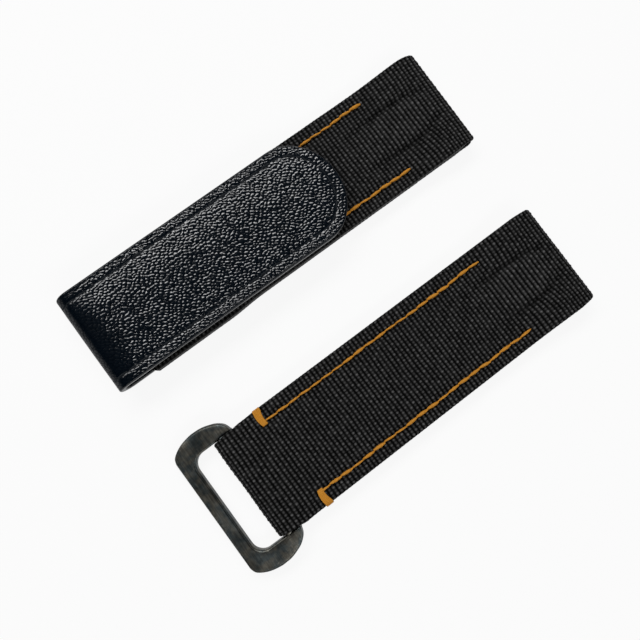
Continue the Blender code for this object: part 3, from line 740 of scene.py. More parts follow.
def grain(fold, path, side, look):
    """Relief of the leather: domed pebbles between creases, with waves and the seam's groove.

    A pebble's dome is a quarter circle of the distance to the crease, which is the difference of
    the distances to the two nearest cell points. The grain is calm at the fold, on the seam and at
    the edge. The leather swells between the seams and falls a little at its edge."""
    lean = math.radians(37)
    long_way = math.cos(lean) * path + math.sin(lean) * side
    short_way = math.cos(lean) * side - math.sin(lean) * path
    warp_x = long_way + 0.00022 * value_noise(path, side, 0.0011, 31)
    warp_y = short_way + 0.00022 * value_noise(path, side, 0.0011, 33)
    nearest, second = cells(warp_x * 0.80, warp_y * 1.22, look.grain, 35)
    t = np.clip((second - nearest) / 0.62, 0, 1)
    dome = np.sqrt(t * (2 - t))
    small_nearest, small_second = cells(warp_x, warp_y, look.grain * 0.43, 37)
    fine = np.clip((small_second - small_nearest) / 0.5, 0, 1)
    pebble = dome * (0.92 + 0.08 * value_noise(path, side, 0.0013, 39)) + 0.16 * fine * dome
    seam = from_edge_seam(fold, path, side)
    sewn = bell(seam, 0.00030) * eased((fold.run + 0.0030 - path) / 0.0010)
    calm = (1 - 0.84 * eased((path - fold.run + 0.0046) / 0.0060)) * (1 - 0.45 * bell(seam, 0.00030))
    calm = calm * (1 - 0.85 * eased((seam - EDGE_SEAM_INSET + 0.00060) / 0.00040))
    waves = 0.000014 * value_noise(path, side, 0.0042, 41)
    waves = waves + 0.00001 * value_noise(path, side, 0.0021, 43)
    puff = 0.00003 * (1 - bell(seam, 0.0016)) * eased(-seam / 0.0010)
    lip = 0.00004 * eased((seam - EDGE_SEAM_INSET + 0.00036) / 0.00036)
    relief = look.grain_depth * (pebble - 1) * calm - look.seam_groove * sewn + waves + puff - lip
    # The second value is the tone: painted shade, dark in the creases between the pebbles, and plain
    # where the grain is calm
    return relief, np.clip(pebble, 0, 1) * calm + 0.52 * (1 - calm)


def folded_leather():
    """The tongue as one closed surface, from its tip round the fold to the end that is sewn in.

    Rows follow the fold's path, and near the tip each column starts on the half ellipse of the
    outline, its start fading out along the run. A wall of rounded rows closes the tip between the
    outer and the inner face, whose fewer columns are joined to it by fans of triangles."""
    look = settings().leather
    half = Half("hook_half")
    fold = Fold(half)
    edge = LEATHER_EDGE
    counts = (LEATHER_FAN * 12, 4, 2, 4, 0, 0, 12)
    dense = np.arange(0, fold.turned + 0.0042, LEATHER_STEP)
    nominal = np.concatenate([dense, np.linspace(dense[-1] + 0.0005, fold.length, 8)])[:, None]
    tucked = eased((nominal - fold.turned - (fold.centre - half.length)) / 0.0005)
    thickness = LEATHER - tucked * (LEATHER - (half.body_top - FABRIC - LAYER_GAP - fold.bottom))
    half_width = fold.half_width - tucked * (FABRIC + LAYER_GAP)

    def spread(t):
        """Places of the columns, closer together towards the edge."""
        return 0.45 * t + 0.55 * np.sin(t * math.pi / 2)

    def tip_start(share_out):
        """Where the face starts, on the ellipse of the tip's outline."""
        return edge + (TONGUE_TIP_DEPTH - edge) * drawn_in(share_out)

    def painted_shade_tone(pebble, fade):
        """Tone of the pebbles, painted shade that is dark in their creases, plain where the relief is
        faded out.
        """
        return PLAIN_LEATHER_TONE + (pebble - PLAIN_LEATHER_TONE) * fade

    side, down, out_side, out_depth, _, weight = section(
        half_width, thickness, edge, thickness, edge, edge, counts, spread
    )
    flat = half_width - edge
    start = tip_start(np.clip(np.abs(side) / flat, 0, 1))
    path = nominal + start * np.clip(1 - nominal / (0.8 * fold.run), 0, None)
    path = np.minimum(path, fold.length)
    fade = np.clip(1 - (np.abs(side) - flat) / (0.8 * edge), 0, 1) * (weight > 0) * (out_depth < 0)
    relief, pebble = grain(fold, path, side, look)
    lift = relief * fade
    along, height = fold.at(path, down + lift * out_depth)[:2]
    points = half.place(along, fold.middle + side + lift * out_side, height)
    index = numbered(side.shape)
    columns = side.shape[1]

    # Wall round the tip: the section's edge, set square to the ellipse by its gradient
    face = counts[0]
    across = np.concatenate([-side[0, face:0:-1], side[0, : face + 1]])
    turn = across / flat[0, 0]
    ahead = -np.sqrt(np.clip(1 - turn**2, 0, None)) / (TONGUE_TIP_DEPTH - edge)
    outward = np.stack([ahead, turn / flat[0, 0]])
    outward /= np.linalg.norm(outward, axis=0)
    band = slice(face, face + sum(counts[1:4]) + 1)
    bulge = (side[0, band] - side[0, face])[:, None]
    band_depth = down[0, band][:, None]
    wall_path = tip_start(turn) + bulge * outward[0]
    wall_side = across + bulge * outward[1]
    wall_relief, wall_pebble = grain(fold, wall_path, wall_side, look)
    wall_fade = np.clip(1 - bulge / (0.8 * edge), 0, 1) * (band_depth < edge)
    wall_height = fold.top - band_depth + wall_relief * wall_fade
    wall = half.place(fold.tip + wall_path, fold.middle + wall_side, wall_height)
    first = index[0]
    wall_index = np.zeros(wall.shape[:2], int)
    wall_index[0] = np.concatenate([first[-face:], first[: face + 1]])
    band_columns = np.arange(face, face + len(bulge))
    wall_index[:, -1] = first[band_columns]
    wall_index[:, 0] = first[(columns - band_columns) % columns]
    fresh = (slice(1, None), slice(1, -1))
    wall_index[fresh] = numbered(wall[fresh].shape[:2], index.size)

    # Fans of triangles, each from one step of the inner face to several steps of the wall
    back_start = face + sum(counts[1:6])
    sparse = first[(np.arange(back_start, back_start + 2 * counts[6] + 1)) % columns][::-1]
    zipped = wall_index[-1]
    base = np.arange(len(sparse) - 1) * LEATHER_FAN
    middle = LEATHER_FAN // 2
    triangles = []
    for m in range(LEATHER_FAN):
        tops = sparse[:-1] if m < middle else sparse[1:]
        triangles.append(np.stack([zipped[base + m], zipped[base + m + 1], tops], -1))
    triangles.append(np.stack([zipped[base + middle], sparse[1:], sparse[:-1]], -1))

    # The quads lean near the tip, so on one side they are split along their other diagonal
    run_quads = grid_quads(index, closed_columns=True)
    far_side = np.arange(len(run_quads)) % columns >= columns // 2
    run_quads[far_side] = np.roll(run_quads[far_side], 1, axis=1)
    tones = [painted_shade_tone(pebble, fade).ravel(), painted_shade_tone(wall_pebble, wall_fade)[fresh].ravel()]
    coordinates = [np.stack([path, side], -1), np.stack([wall_path, wall_side], -1)[fresh]]
    leather = mesh_object(
        "folded_leather_tongue",
        np.concatenate([points.reshape(-1, 3), wall[fresh].reshape(-1, 3)]),
        np.concatenate([run_quads, grid_quads(wall_index)[:, ::-1]]),
        triangles=np.concatenate(triangles)[:, ::-1],
        caps=(index[-1],),
        values={"relief": np.concatenate(tones)},
        coordinates=np.concatenate([c.reshape(-1, 2) for c in coordinates]),
    )
    return leather, fold


# Stitches


def stitches(path, normal, pitch, diameter, hump, sink, joint=0.0, seed=1, count=None, lens=0.2):
    """A row of stitches along a path, each a thread of three plies with closed, buried ends.

    A stitch's middle line stands above the path by hump times the fourth root of sin(pi u), less
    sink, and runs a little past its joints, which lie off the line by chance. Its radius falls
    towards both ends by the share lens, and swells by a cosine of three times the angle round it.
    Returns points, quads, end faces and cloth coordinates."""
    lengths = np.concatenate([[0], np.cumsum(np.linalg.norm(np.diff(path, axis=0), axis=1))])
    count = count or max(1, round(lengths[-1] / pitch))
    random = np.random.default_rng(seed)
    segments, sides = 16, 12
    u = (1 - np.cos(np.linspace(0, math.pi, segments + 1))) / 2
    u = 0.5 * u + 0.5 * np.linspace(0, 1, segments + 1)
    overlap = 0.03
    station = np.arange(count)[:, None] - overlap + (1 + 2 * overlap) * u
    station = station * lengths[-1] / count

    def follow(values):
        """Values along the path, read at the stations of every stitch."""
        return np.stack([np.interp(station, lengths, values[:, k]) for k in range(3)], -1)

    base, up = follow(path), follow(normal)
    ahead = np.gradient(base, station[0], axis=1) if count == 1 else np.gradient(base, axis=1)
    length_ahead = np.linalg.norm(ahead, axis=-1, keepdims=True)
    ahead = np.where(length_ahead > 1e-9, ahead / np.maximum(length_ahead, 1e-9), 0)
    ahead[:, 0], ahead[:, -1] = ahead[:, 2], ahead[:, -3]
    ahead[:, 1], ahead[:, -2] = ahead[:, 2], ahead[:, -3]
    up = up - ahead * np.sum(up * ahead, -1, keepdims=True)
    up /= np.linalg.norm(up, axis=-1, keepdims=True)
    left = np.cross(up, ahead)
    swell = np.sin(math.pi * np.clip(u, 0, 1)) ** 0.25
    height = (hump * swell - sink)[None, :, None]
    drift = random.uniform(-joint, joint, count + 1)
    lean = random.uniform(0.3, 1.1, (count, 1)) * joint * (1 - 2 * u)
    offset = drift[:-1, None] * (1 - u) + drift[1:, None] * u + lean
    middle = base + up * height + left * offset[..., None]
    tilt = np.gradient(middle, axis=1)
    tilt /= np.maximum(np.linalg.norm(tilt, axis=-1, keepdims=True), 1e-9)
    lifted = np.cross(tilt, left)
    angle = np.linspace(0, 2 * math.pi, sides, endpoint=False)
    twist = station[..., None] * 2 * math.pi / (5 * diameter)
    plies = 1 + 0.08 * np.cos(3 * (angle[None, None] - twist))
    thick = diameter / 2 * (1 - lens + lens * np.sin(math.pi * u))
    thick = thick * np.where((u == 0) | (u == 1), 0.05, 1)
    thick = thick[None] * random.uniform(1 - lens / 2, 1 + lens / 2, (count, 1))
    radius = (plies * thick[..., None])[..., None]
    ring = left[:, :, None] * np.cos(angle)[:, None] - lifted[:, :, None] * np.sin(angle)[:, None]
    points = middle[:, :, None] + radius * ring
    one = numbered((segments + 1, sides))
    shifts = np.arange(count) * one.size
    quads = grid_quads(one, closed_columns=True)[None] + shifts[:, None, None]
    ends = [one[0][::-1] + shift for shift in shifts] + [one[-1] + shift for shift in shifts]
    around = np.broadcast_to(angle / (2 * math.pi) * diameter * 3, points.shape[:3])
    run = np.broadcast_to(station[..., None], points.shape[:3])
    coordinates = np.stack([run, around], -1).reshape(-1, 2)
    return points.reshape(-1, 3), quads.reshape(-1, 4), ends, coordinates


def stitch_object(name, rows, material, nodes, body):
    """Rows of stitches as one piece."""
    points, quads, ends, coordinates = zip(*rows)
    shifts = np.cumsum([0] + [len(p) for p in points[:-1]])
    obj = mesh_object(
        name,
        np.concatenate(points),
        np.concatenate([q + shift for q, shift in zip(quads, shifts)]),
        caps=[end + shift for row, shift in zip(ends, shifts) for end in row],
        coordinates=np.concatenate(coordinates),
    )
    return finish_piece(obj, material, nodes, body)


def straight_path(half, start, end, side, top=True):
    """Points and normals of a seam line on the upper face, or on the lining."""
    along = np.linspace(start, end, SEAM_POINTS)
    height = half.height(along) if top else 0 * along + 0.00004
    normal = np.tile((0.0, 0.0, 1.0 if top else -1.0), (SEAM_POINTS, 1))
    return half.place(along, side + 0 * along, height), normal


def fabric_seam(half, sign, end):
    """Orange seam of a half: upper stitches, stitches under the lining, and a tack near the ring."""
    look = settings().thread
    side = sign * (half.half_width - SEAM_INSET)
    size = (look.seam_pitch, look.seam_diameter)
    seed = 50 + sign + len(half.name)
    above = straight_path(half, SEAM_START, end, side)
    below = straight_path(half, half.tail_end + 0.0006, min(end, half.lining_end), side, False)
    rows = [
        stitches(*above, *size, 0.00018, 0.00008, joint=0.00010, seed=seed, lens=0.55),
        stitches(*below, *size, 0.00007, 0.00026, seed=seed + 7),
    ]
    if half.has_ring:
        rows += tack_threads(half, sign, side, end + sign * 0.00045, seed)
    return rows


def tack_threads(half, sign, side, end, seed):
    """Close threads that turn the seam out over the edge.

    Each goes outwards in a shallow arc, a parabola that bulges towards the ring, fans out by the
    share of the way that it has gone, turns a quarter circle over the edge and ends on the side."""
    edge, corner, threads = half.half_width, 0.0004, 5
    on_face, on_side = 14, 5
    across = np.linspace(abs(side) - 0.00050, edge - corner, on_face)
    over = np.radians(np.linspace(0, 90, 7))[1:]
    past = len(over) + on_side
    gone = np.linspace(0, 1, on_face)
    spacing = np.concatenate([0.00017 + 0.00010 * gone, np.full(past, 0.00027)])
    bulge = np.concatenate([0.00022 * 4 * gone * (1 - gone), np.zeros(past)])
    level = np.concatenate([np.zeros(on_face), corner * np.cos(over) - corner])
    level = np.concatenate([level, level[-1] - np.linspace(0.0001, 0.0006, on_side)])
    place = np.concatenate([across, edge - corner + corner * np.sin(over), np.full(on_side, edge)])
    turned_by = np.concatenate([np.zeros(on_face), over, np.full(on_side, math.pi / 2)])
    normal = np.stack([0 * turned_by, sign * np.sin(turned_by), np.cos(turned_by)], -1)
    rows = []
    for k in range(threads):
        along = end + (k - (threads - 1) / 2) * spacing + bulge
        points = half.place(along, sign * place, half.height(along) + level)
        rows.append(
            stitches(points, normal, 1.0, 0.00038, 0.00012, 0.00006, seed=seed + k, count=1, lens=0.06)
        )
    return rows


def tongue_seam_path(fold):
    """Line of the edge seam: up round the fold, along a side, round the tip's ellipse and back."""
    across = fold.half_width - EDGE_SEAM_INSET
    depth = TONGUE_TIP_DEPTH - EDGE_SEAM_INSET
    sides = np.linspace(fold.run + fold.radius * math.radians(84), TONGUE_TIP_DEPTH, 160)
    angle = np.linspace(math.pi / 2, -math.pi / 2, 120)[1:-1]
    path = np.concatenate([sides, TONGUE_TIP_DEPTH - depth * np.cos(angle), sides[::-1]])
    side = np.concatenate([across + 0 * sides, across * np.sin(angle), -across + 0 * sides])
    along, height, out_along, out_height = fold.at(path, 0.0001)
    points = fold.half.place(along, fold.middle + side, height)
    return points, np.stack([-out_along, 0 * out_along, out_height], -1)


# Hooks and loops


def tube(points, radius, sides):
    """A thin tube along points in the plane y = 0: circles of the radius, square to it.

    Both ends are open, and 0.4 times as wide."""
    points = np.asarray(points, float)
    ahead = np.gradient(points, axis=0)
    ahead /= np.linalg.norm(ahead, axis=1, keepdims=True)
    left = np.array([0.0, 1.0, 0.0])
    up = np.cross(ahead, left)
    angle = np.linspace(0, 2 * math.pi, sides, endpoint=False)[:, None]
    taper = np.ones(len(points))
    taper[[0, -1]] = 0.4
    rings = [
        point + radius * width * (np.cos(angle) * left + np.sin(angle) * over)
        for point, over, width in zip(points, up, taper)
    ]
    return np.concatenate(rings), grid_quads(numbered((len(points), sides)), closed_columns=True)


def turned(angles, leans=0.0):
    """Frames that turn about the upright axis by an angle and lean along x by a share of height."""
    c, s = np.cos(angles), np.sin(angles)
    zero, one = 0 * c, 0 * c + 1
    rows = ((c, -s, zero + leans), (s, c, zero), (zero, zero, one))
    return np.stack([np.stack(row, -1) for row in rows], 1)


# Ring


def smooth_through(values, spread):
    """Catmull-Rom curve through evenly spaced values, read at shares of its length."""
    padded = np.concatenate([[2 * values[0] - values[1]], values, [2 * values[-1] - values[-2]]])
    place = np.clip(spread, 0, 1) * (len(values) - 1)
    index = np.minimum(place.astype(int), len(values) - 2)
    t = place - index
    before, start, end, after = (padded[index + k] for k in range(4))
    return 0.5 * (
        2 * start
        + (end - before) * t
        + (2 * before - 5 * start + 4 * end - after) * t**2
        + (3 * start - before - 3 * end + after) * t**3
    )


def ring_outline(look, slot_half):
    """Inner and outer edge of one half of the ring, from its rear end round to its front middle.

    On the arm both edges are read at the same distance from the bar, round the slot's corner on
    the same ray from the corner's centre, and on the front bar at the same side place."""
    reach = look.slot_reach + look.front_bar
    shares = np.array(RING_EDGE_SHARES)
    spread = np.linspace(0, 1, 400)
    edge_x = smooth_through(shares[:, 0], spread) * (reach + look.rear) - reach
    edge_y = slot_half + smooth_through(shares[:, 1], spread) * look.arm
    centre_x, centre_y = look.slot_corner - look.slot_reach, slot_half - look.slot_corner
    arm_x = np.linspace(look.rear, centre_x, 34)
    arm = np.stack([arm_x, slot_half + 0 * arm_x, arm_x, np.interp(arm_x, edge_x, edge_y)], -1)
    angle = np.linspace(0, math.pi / 2, 30)[1:]
    polar = np.arctan2(centre_x - edge_x, edge_y - centre_y)
    from_centre = np.hypot(edge_x - centre_x, edge_y - centre_y)
    radius = np.interp(angle, polar[::-1], from_centre[::-1])
    corner = np.stack(
        [
            centre_x - look.slot_corner * np.sin(angle),
            centre_y + look.slot_corner * np.cos(angle),
            np.maximum(centre_x - radius * np.sin(angle), -reach),
            centre_y + radius * np.cos(angle),
        ],
        -1,
    )
    front_y = np.linspace(centre_y, 0, 22)[1:]
    front = np.stack([0 * front_y - look.slot_reach, front_y, 0 * front_y - reach, front_y], -1)
    return np.concatenate([arm, corner, front])


def keeper_ring():
    """Frame of the ring: a rounded rectangle between its inner and outer edge, and its inner bar.

    The frame's ends are drawn in along a quarter circle. The value rim is 1 on the outer side and on
    the bend to the inner side, and below 0 on the inner side; the metal reads it as painted shade,
    darkest outside and on the bend, darker inside. The ring lies turned about its bar by the angle at
    which its front rests on the floor."""
    look = settings().ring
    joint = next(j for j in frame["joints"] if j["name"] == "ring_swing")
    bar = Vector(joint["pos_m"])
    low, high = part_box("keeper_ring")
    slot_half = (high.y - low.y) / 2 - look.arm
    outline = ring_outline(look, slot_half)
    mirrored = outline[-2::-1] * np.array([1, -1, 1, -1])
    outline = np.concatenate([outline, mirrored])
    inner, outer = outline[:, None, :2], outline[:, None, 2:]
    across = outer - inner
    width = np.linalg.norm(across, axis=-1, keepdims=True)
    across = across / width
    half_thick = look.thickness / 2
    edge = look.edge_round
    rows = np.arange(len(outline))
    near_end = np.minimum(rows, rows[::-1])[:, None, None] < RING_END_ROWS
    end = np.minimum(np.abs(outline[:, 0] - look.rear), edge)[:, None, None]
    shrink = np.where(near_end, edge - np.sqrt(edge**2 - (edge - end) ** 2), 0)
    corner = np.linspace(0, math.pi / 2, 6)
    flats = np.linspace(0, 1, 5)[1:-1]
    loop, turns = [], []
    corners = ((1, 1), (-1, 1), (-1, -1), (1, -1))
    for k, (sign_w, sign_t) in enumerate(corners):
        angle = corner + math.radians(90 * k)
        turns.append(angle)
        loop.append(np.stack([0 * angle + sign_w, 0 * angle + sign_t, np.cos(angle), np.sin(angle)], -1))
        next_w, next_t = corners[(k + 1) % 4]
        last = math.radians(90 * (k + 1))
        w = sign_w + flats * (next_w - sign_w)
        h = sign_t + flats * (next_t - sign_t)
        turns.append(0 * w + last)
        loop.append(np.stack([w, h, 0 * w + math.cos(last), 0 * w + math.sin(last)], -1))
    loop = np.concatenate(loop)[None]
    turns = np.concatenate(turns)
    # Where the metal is given painted shade: the outer side, the bend to the inner side, and less the
    # inner side
    rim = np.clip(np.cos(turns), 0, 1) ** 0.6 + bell(turns - math.radians(106), 0.20)
    rim = rim - 0.6 * eased((-np.cos(turns) - 0.6) / 0.3)
    spread_w = (width / 2 - edge) * loop[..., 0:1] + (edge - shrink) * loop[..., 2:3]
    spread_t = (half_thick - edge) * loop[..., 1:2] + (edge - shrink) * loop[..., 3:4]
    plan = (inner + outer) / 2 + across * spread_w
    points = np.concatenate([plan, spread_t], -1)
    index = numbered(points.shape[:2])
    around = np.linspace(0, 2 * math.pi, 24, endpoint=False)
    stretch = np.linspace(-1, 1, 9)[:, None] * (slot_half + look.arm / 2)
    rod = np.stack(
        [
            look.bar_diameter / 2 * np.cos(around) + 0 * stretch,
            stretch + 0 * around,
            look.bar_diameter / 2 * np.sin(around) + 0 * stretch,
        ],
        -1,
    )
    rod_index = numbered(rod.shape[:2], index.size)
    heel = look.slot_reach + look.front_bar - edge
    droop = math.asin(bar.z / math.hypot(heel, half_thick)) - math.atan2(half_thick, heel)
    turn = np.array(Matrix.Rotation(-droop, 3, "Y"))
    frame_quads = grid_quads(index, closed_columns=True)
    rod_quads = grid_quads(rod_index, closed_columns=True)[:, ::-1]
    obj = mesh_object(
        "gunmetal_keeper_ring",
        np.concatenate([points.reshape(-1, 3), rod.reshape(-1, 3)]) @ turn.T + np.array(bar),
        np.concatenate([frame_quads, rod_quads]),
        caps=(index[0][::-1], index[-1], rod_index[0], rod_index[-1][::-1]),
        values={"rim": np.concatenate([np.tile(rim, len(index)), np.zeros(rod_index.size)])},
    )
    return finish_piece(obj, gunmetal(), ["keeper_ring"], "ring")


# Node groups and materials


def feed(tree, socket, source):
    """Joins an input to another node's output, or sets it to a plain value."""
    if isinstance(source, bpy.types.NodeSocket):
        tree.links.new(source, socket)
    else:
        socket.default_value = source


def add_node(tree, kind, inputs=None, **options):
    """Adds a node with its options and feeds its inputs."""
    node = tree.nodes.new(kind)
    for key, value in options.items():
        setattr(node, key, value)
    for key, source in (inputs or {}).items():
        feed(tree, node.inputs[key], source)
    return node


def combined(tree, operation, first, second):
    """Result of a math node on two outputs or numbers."""
    return add_node(tree, "ShaderNodeMath", {0: first, 1: second}, operation=operation).outputs[0]


def ranged(tree, source, low, high, start=0.0, end=1.0):
    """Maps a value between start and end to a value between low and high."""
    inputs = {"Value": source, "From Min": start, "From Max": end, "To Min": low, "To Max": high}
    return add_node(tree, "ShaderNodeMapRange", inputs).outputs[0]


def noise(tree, place, scale, detail, roughness=0.5):
    """Outputs of a noise node over a place: Fac from 0 to 1, and Color."""
    inputs = {"Vector": place, "Scale": scale, "Detail": detail, "Roughness": roughness}
    return add_node(tree, "ShaderNodeTexNoise", inputs).outputs


def streaks(tree, place, degrees, scale):
    """Noise that is turned about the upright axis and scaled differently along each axis."""
    turn = (0, 0, math.radians(degrees))
    mapped = add_node(tree, "ShaderNodeMapping", {"Vector": place, "Rotation": turn, "Scale": scale})
    return noise(tree, mapped.outputs[0], 1.0, 3.0)["Fac"]


def attribute(tree, name):
    """A value that the mesh stores at its vertices."""
    return add_node(tree, "ShaderNodeAttribute", attribute_name=name).outputs["Fac"]


def bumped(tree, shader, height, strength, distance):
    """Joins a height to the shader's normal through a bump of that depth in metres."""
    inputs = {"Height": height, "Strength": strength, "Distance": distance}
    bump = add_node(tree, "ShaderNodeBump", inputs)
    tree.links.new(bump.outputs[0], shader.inputs["Normal"])


def new_group(name, inputs, outputs):
    """An empty node group with named sockets: (name, kind, default) and (name, kind)."""
    tree = bpy.data.node_groups.new(name, "ShaderNodeTree")
    for label, kind, default in inputs:
        socket = tree.interface.new_socket(name=label, in_out="INPUT", socket_type=kind)
        if default is not None:
            socket.default_value = default
    for label, kind in outputs:
        tree.interface.new_socket(name=label, in_out="OUTPUT", socket_type=kind)
    given = tree.nodes.new("NodeGroupInput").outputs
    return tree, given, tree.nodes.new("NodeGroupOutput").inputs


def fibre_group():
    """Fine filaments that run along one axis of the coordinates, as a height and a fleck mask."""
    found = bpy.data.node_groups.get("Yarn Filaments")
    if found:
        return found
    tree, given, result = new_group(
        "Yarn Filaments",
        [
            ("Coordinates", "NodeSocketVector", None),
            ("Across", "NodeSocketFloat", 9000.0),
            ("Along", "NodeSocketFloat", 900.0),
            ("Fleck Size", "NodeSocketFloat", 1500.0),
        ],
        [("Height", "NodeSocketFloat"), ("Fleck", "NodeSocketFloat")],
    )
    place = given["Coordinates"]
    scale = add_node(tree, "ShaderNodeCombineXYZ", {"X": given["Across"], "Y": given["Along"]})
    stretched = add_node(
        tree, "ShaderNodeVectorMath", {0: place, 1: scale.outputs[0]}, operation="MULTIPLY"
    )
    tree.links.new(noise(tree, stretched.outputs[0], 1.0, 2.0, 0.6)["Fac"], result["Height"])
    tree.links.new(noise(tree, place, given["Fleck Size"], 3.0)["Fac"], result["Fleck"])
    return tree


def tint_group():
    """Colour between a low and a high tint by relief, with slow clouds over it."""
    found = bpy.data.node_groups.get("Relief Tint")
    if found:
        return found
    tree, given, result = new_group(
        "Relief Tint",
        [
            ("Low", "NodeSocketColor", (0, 0, 0, 1)),
            ("High", "NodeSocketColor", (1, 1, 1, 1)),
            ("Relief", "NodeSocketFloat", 0.5),
            ("Coordinates", "NodeSocketVector", None),
            ("Cloud Size", "NodeSocketFloat", 300.0),
            ("Cloud Strength", "NodeSocketFloat", 0.3),
        ],
        [("Color", "NodeSocketColor")],
    )
    clouds = noise(tree, given["Coordinates"], given["Cloud Size"], 4.0)["Fac"]
    centred = combined(tree, "SUBTRACT", clouds, 0.5)
    strong = combined(tree, "MULTIPLY", centred, given["Cloud Strength"])
    level = combined(tree, "ADD", given["Relief"], strong)
    level.node.use_clamp = True
    tints = {0: level, 6: given["Low"], 7: given["High"]}
    mixed = add_node(tree, "ShaderNodeMix", tints, data_type="RGBA")
    tree.links.new(mixed.outputs[2], result["Color"])
    return tree


def tinted(tree, low, high, inputs):
    """Colour of a Relief Tint between two colours, with its other inputs by name."""
    inputs = {"Low": (*low, 1), "High": (*high, 1), **inputs}
    return add_node(tree, "ShaderNodeGroup", inputs, node_tree=tint_group()).outputs[0]


def filaments(tree, place):
    """Outputs of the Yarn Filaments over a place."""
    return add_node(tree, "ShaderNodeGroup", {"Coordinates": place}, node_tree=fibre_group()).outputs


def new_material(name, **values):
    """An empty material with a Principled shader, whose named sockets take plain values."""
    material = bpy.data.materials.new(name)
    material.use_nodes = True
    shader = material.node_tree.nodes["Principled BSDF"]
    for key, value in values.items():
        shader.inputs[key.replace("_", " ")].default_value = value
    return material, material.node_tree, shader


def cloth_material(name, high, low, roughness, bump=(0.6, 0.00002), woven=False, **values):
    """Yarn: filaments along the cloth's own coordinates, darker between the yarns.

    Plain cloth takes its tone from the filaments. Woven cloth takes it from the relief, to the power
    2.5, a painted shade that is dark in the gaps of the weave, and its filaments run along whichever yarn
    lies on top. Roughness is a low and a high value, and bump a strength and a depth."""
    found = bpy.data.materials.get(name)
    if found:
        return found
    material, tree, shader = new_material(name, **values)
    cloth = add_node(tree, "ShaderNodeUVMap", uv_map="cloth").outputs[0]
    fibres = filaments(tree, cloth)
    height = fibres["Height"]
    if woven:
        # Woven cloth: the painted shade of the weave, from the relief value
        tone = combined(tree, "POWER", ranged(tree, attribute(tree, "relief"), 0, 1, 0.10, 0.95), 2.5)
        parts = add_node(tree, "ShaderNodeSeparateXYZ", {0: cloth}).outputs
        swapped = add_node(tree, "ShaderNodeCombineXYZ", {"X": parts["Y"], "Y": parts["X"]}).outputs[0]
        heights = {2: height, 3: filaments(tree, swapped)["Height"]}
        chosen = add_node(tree, "ShaderNodeMix", {0: attribute(tree, "lengthwise"), **heights})
        height = chosen.outputs[0]
    else:
        tone = ranged(tree, height, 0.35, 1.0, 0.3, 0.7)
    clouds = {"Coordinates": cloth, "Relief": tone, "Cloud Size": 700.0, "Cloud Strength": 0.20}
    tree.links.new(tinted(tree, low, high, clouds), shader.inputs["Base Color"])
    rough = ranged(tree, fibres["Fleck"], *roughness, 0.3, 0.7)
    tree.links.new(rough, shader.inputs["Roughness"])
    bumped(tree, shader, height, *bump)
    return material


def woven_nylon():
    """Black nylon of the uppers, with painted shade in the gaps of the weave."""
    look = settings().weave
    return cloth_material(
        "woven_black_nylon",
        look.yarn,
        look.shade,
        (0.40, 0.60),
        (0.8, 0.00004),
        woven=True,
        Specular_IOR_Level=0.03,
    )


def orange_thread():
    """Orange sewing thread."""
    look = settings().thread
    return cloth_material(
        "orange_sewing_thread", look.pale_orange, look.orange, (0.5, 0.7), Specular_IOR_Level=0.2
    )


def black_thread():
    """Black sewing thread."""
    look = settings().thread
    return cloth_material(
        "black_sewing_thread", look.black, (0.002, 0.004, 0.006), (0.45, 0.65), Specular_IOR_Level=0.15
    )


def grained_leather():
    """Black leather with a blue cast: polished pebbles, dull creases with painted shade and fine pores.
    """
    look = settings().leather
    material, tree, shader = new_material(
        "grained_black_leather", Coat_Roughness=0.16, Coat_IOR=1.95, Specular_IOR_Level=0.03
    )
    place = add_node(tree, "ShaderNodeUVMap", uv_map="cloth").outputs[0]
    relief = attribute(tree, "relief")
    # Painted shade: the base colour runs from the crease colour in the creases to the skin on the pebbles
    level = ranged(tree, relief, 0, 1, 0.1, 0.8)
    clouds = {"Coordinates": place, "Relief": level, "Cloud Size": 260.0, "Cloud Strength": 0.4}
    tree.links.new(tinted(tree, look.crease, look.skin, clouds), shader.inputs["Base Color"])
    pores = noise(tree, place, 5200.0, 3.0, 0.6)["Fac"]
    rough = ranged(tree, relief, 0.60, look.roughness, 0.1, 0.8)
    rough = combined(tree, "ADD", rough, ranged(tree, pores, -0.05, 0.05, 0.3, 0.7))
    tree.links.new(rough, shader.inputs["Roughness"])
    tree.links.new(ranged(tree, relief, 0.0, 1.0, 0.50, 0.90), shader.inputs["Coat Weight"])
    bumped(tree, shader, pores, 0.15, 0.00003)
    return material


def gunmetal():
    """Dark cast metal: brown clouds, a fine brushed grain, a few soft scratches and painted shade on its
    edges and inner side.
    """
    look = settings().ring
    material, tree, shader = new_material("brushed_gunmetal", Metallic=1.0)
    place = add_node(tree, "ShaderNodeTexCoord").outputs["Object"]
    warp = noise(tree, place, 180.0, 1.0)["Color"]
    bent = add_node(tree, "ShaderNodeMixRGB", {0: 0.003, 1: place, 2: warp}).outputs[0]
    clouds = {"Coordinates": bent, "Relief": 0.42, "Cloud Size": 620.0, "Cloud Strength": 5.0}
    tint = tinted(tree, look.metal, look.patina, clouds)
    rim = attribute(tree, "rim")
    level = ranged(tree, streaks(tree, place, -8, (4200.0, 420.0, 900.0)), 0.70, 1.36, 0.3, 0.7)
    # Painted shade from the rim value: darkest on the outer side and the bend to the inner side, darker
    # on the inner side
    factors = (
        ranged(tree, noise(tree, place, 330.0, 3.0)["Fac"], 0.66, 1.36, 0.38, 0.62),
        ranged(tree, rim, 0.90, 0.16, 0.0, 1.0),
        ranged(tree, rim, 0.42, 1.0, -0.6, 0.0),
    )
    for factor in factors:
        level = combined(tree, "MULTIPLY", level, factor)
    shaded = add_node(tree, "ShaderNodeVectorMath", {0: tint, 3: level}, operation="SCALE")
    tree.links.new(shaded.outputs[0], shader.inputs["Base Color"])
    lines = streaks(tree, place, 24, (900.0, 9000.0, 4000.0))
    tree.links.new(ranged(tree, lines, 0.34, 0.56, 0.3, 0.7), shader.inputs["Roughness"])
    bumped(tree, shader, lines, 0.35, 0.00002)
    return material


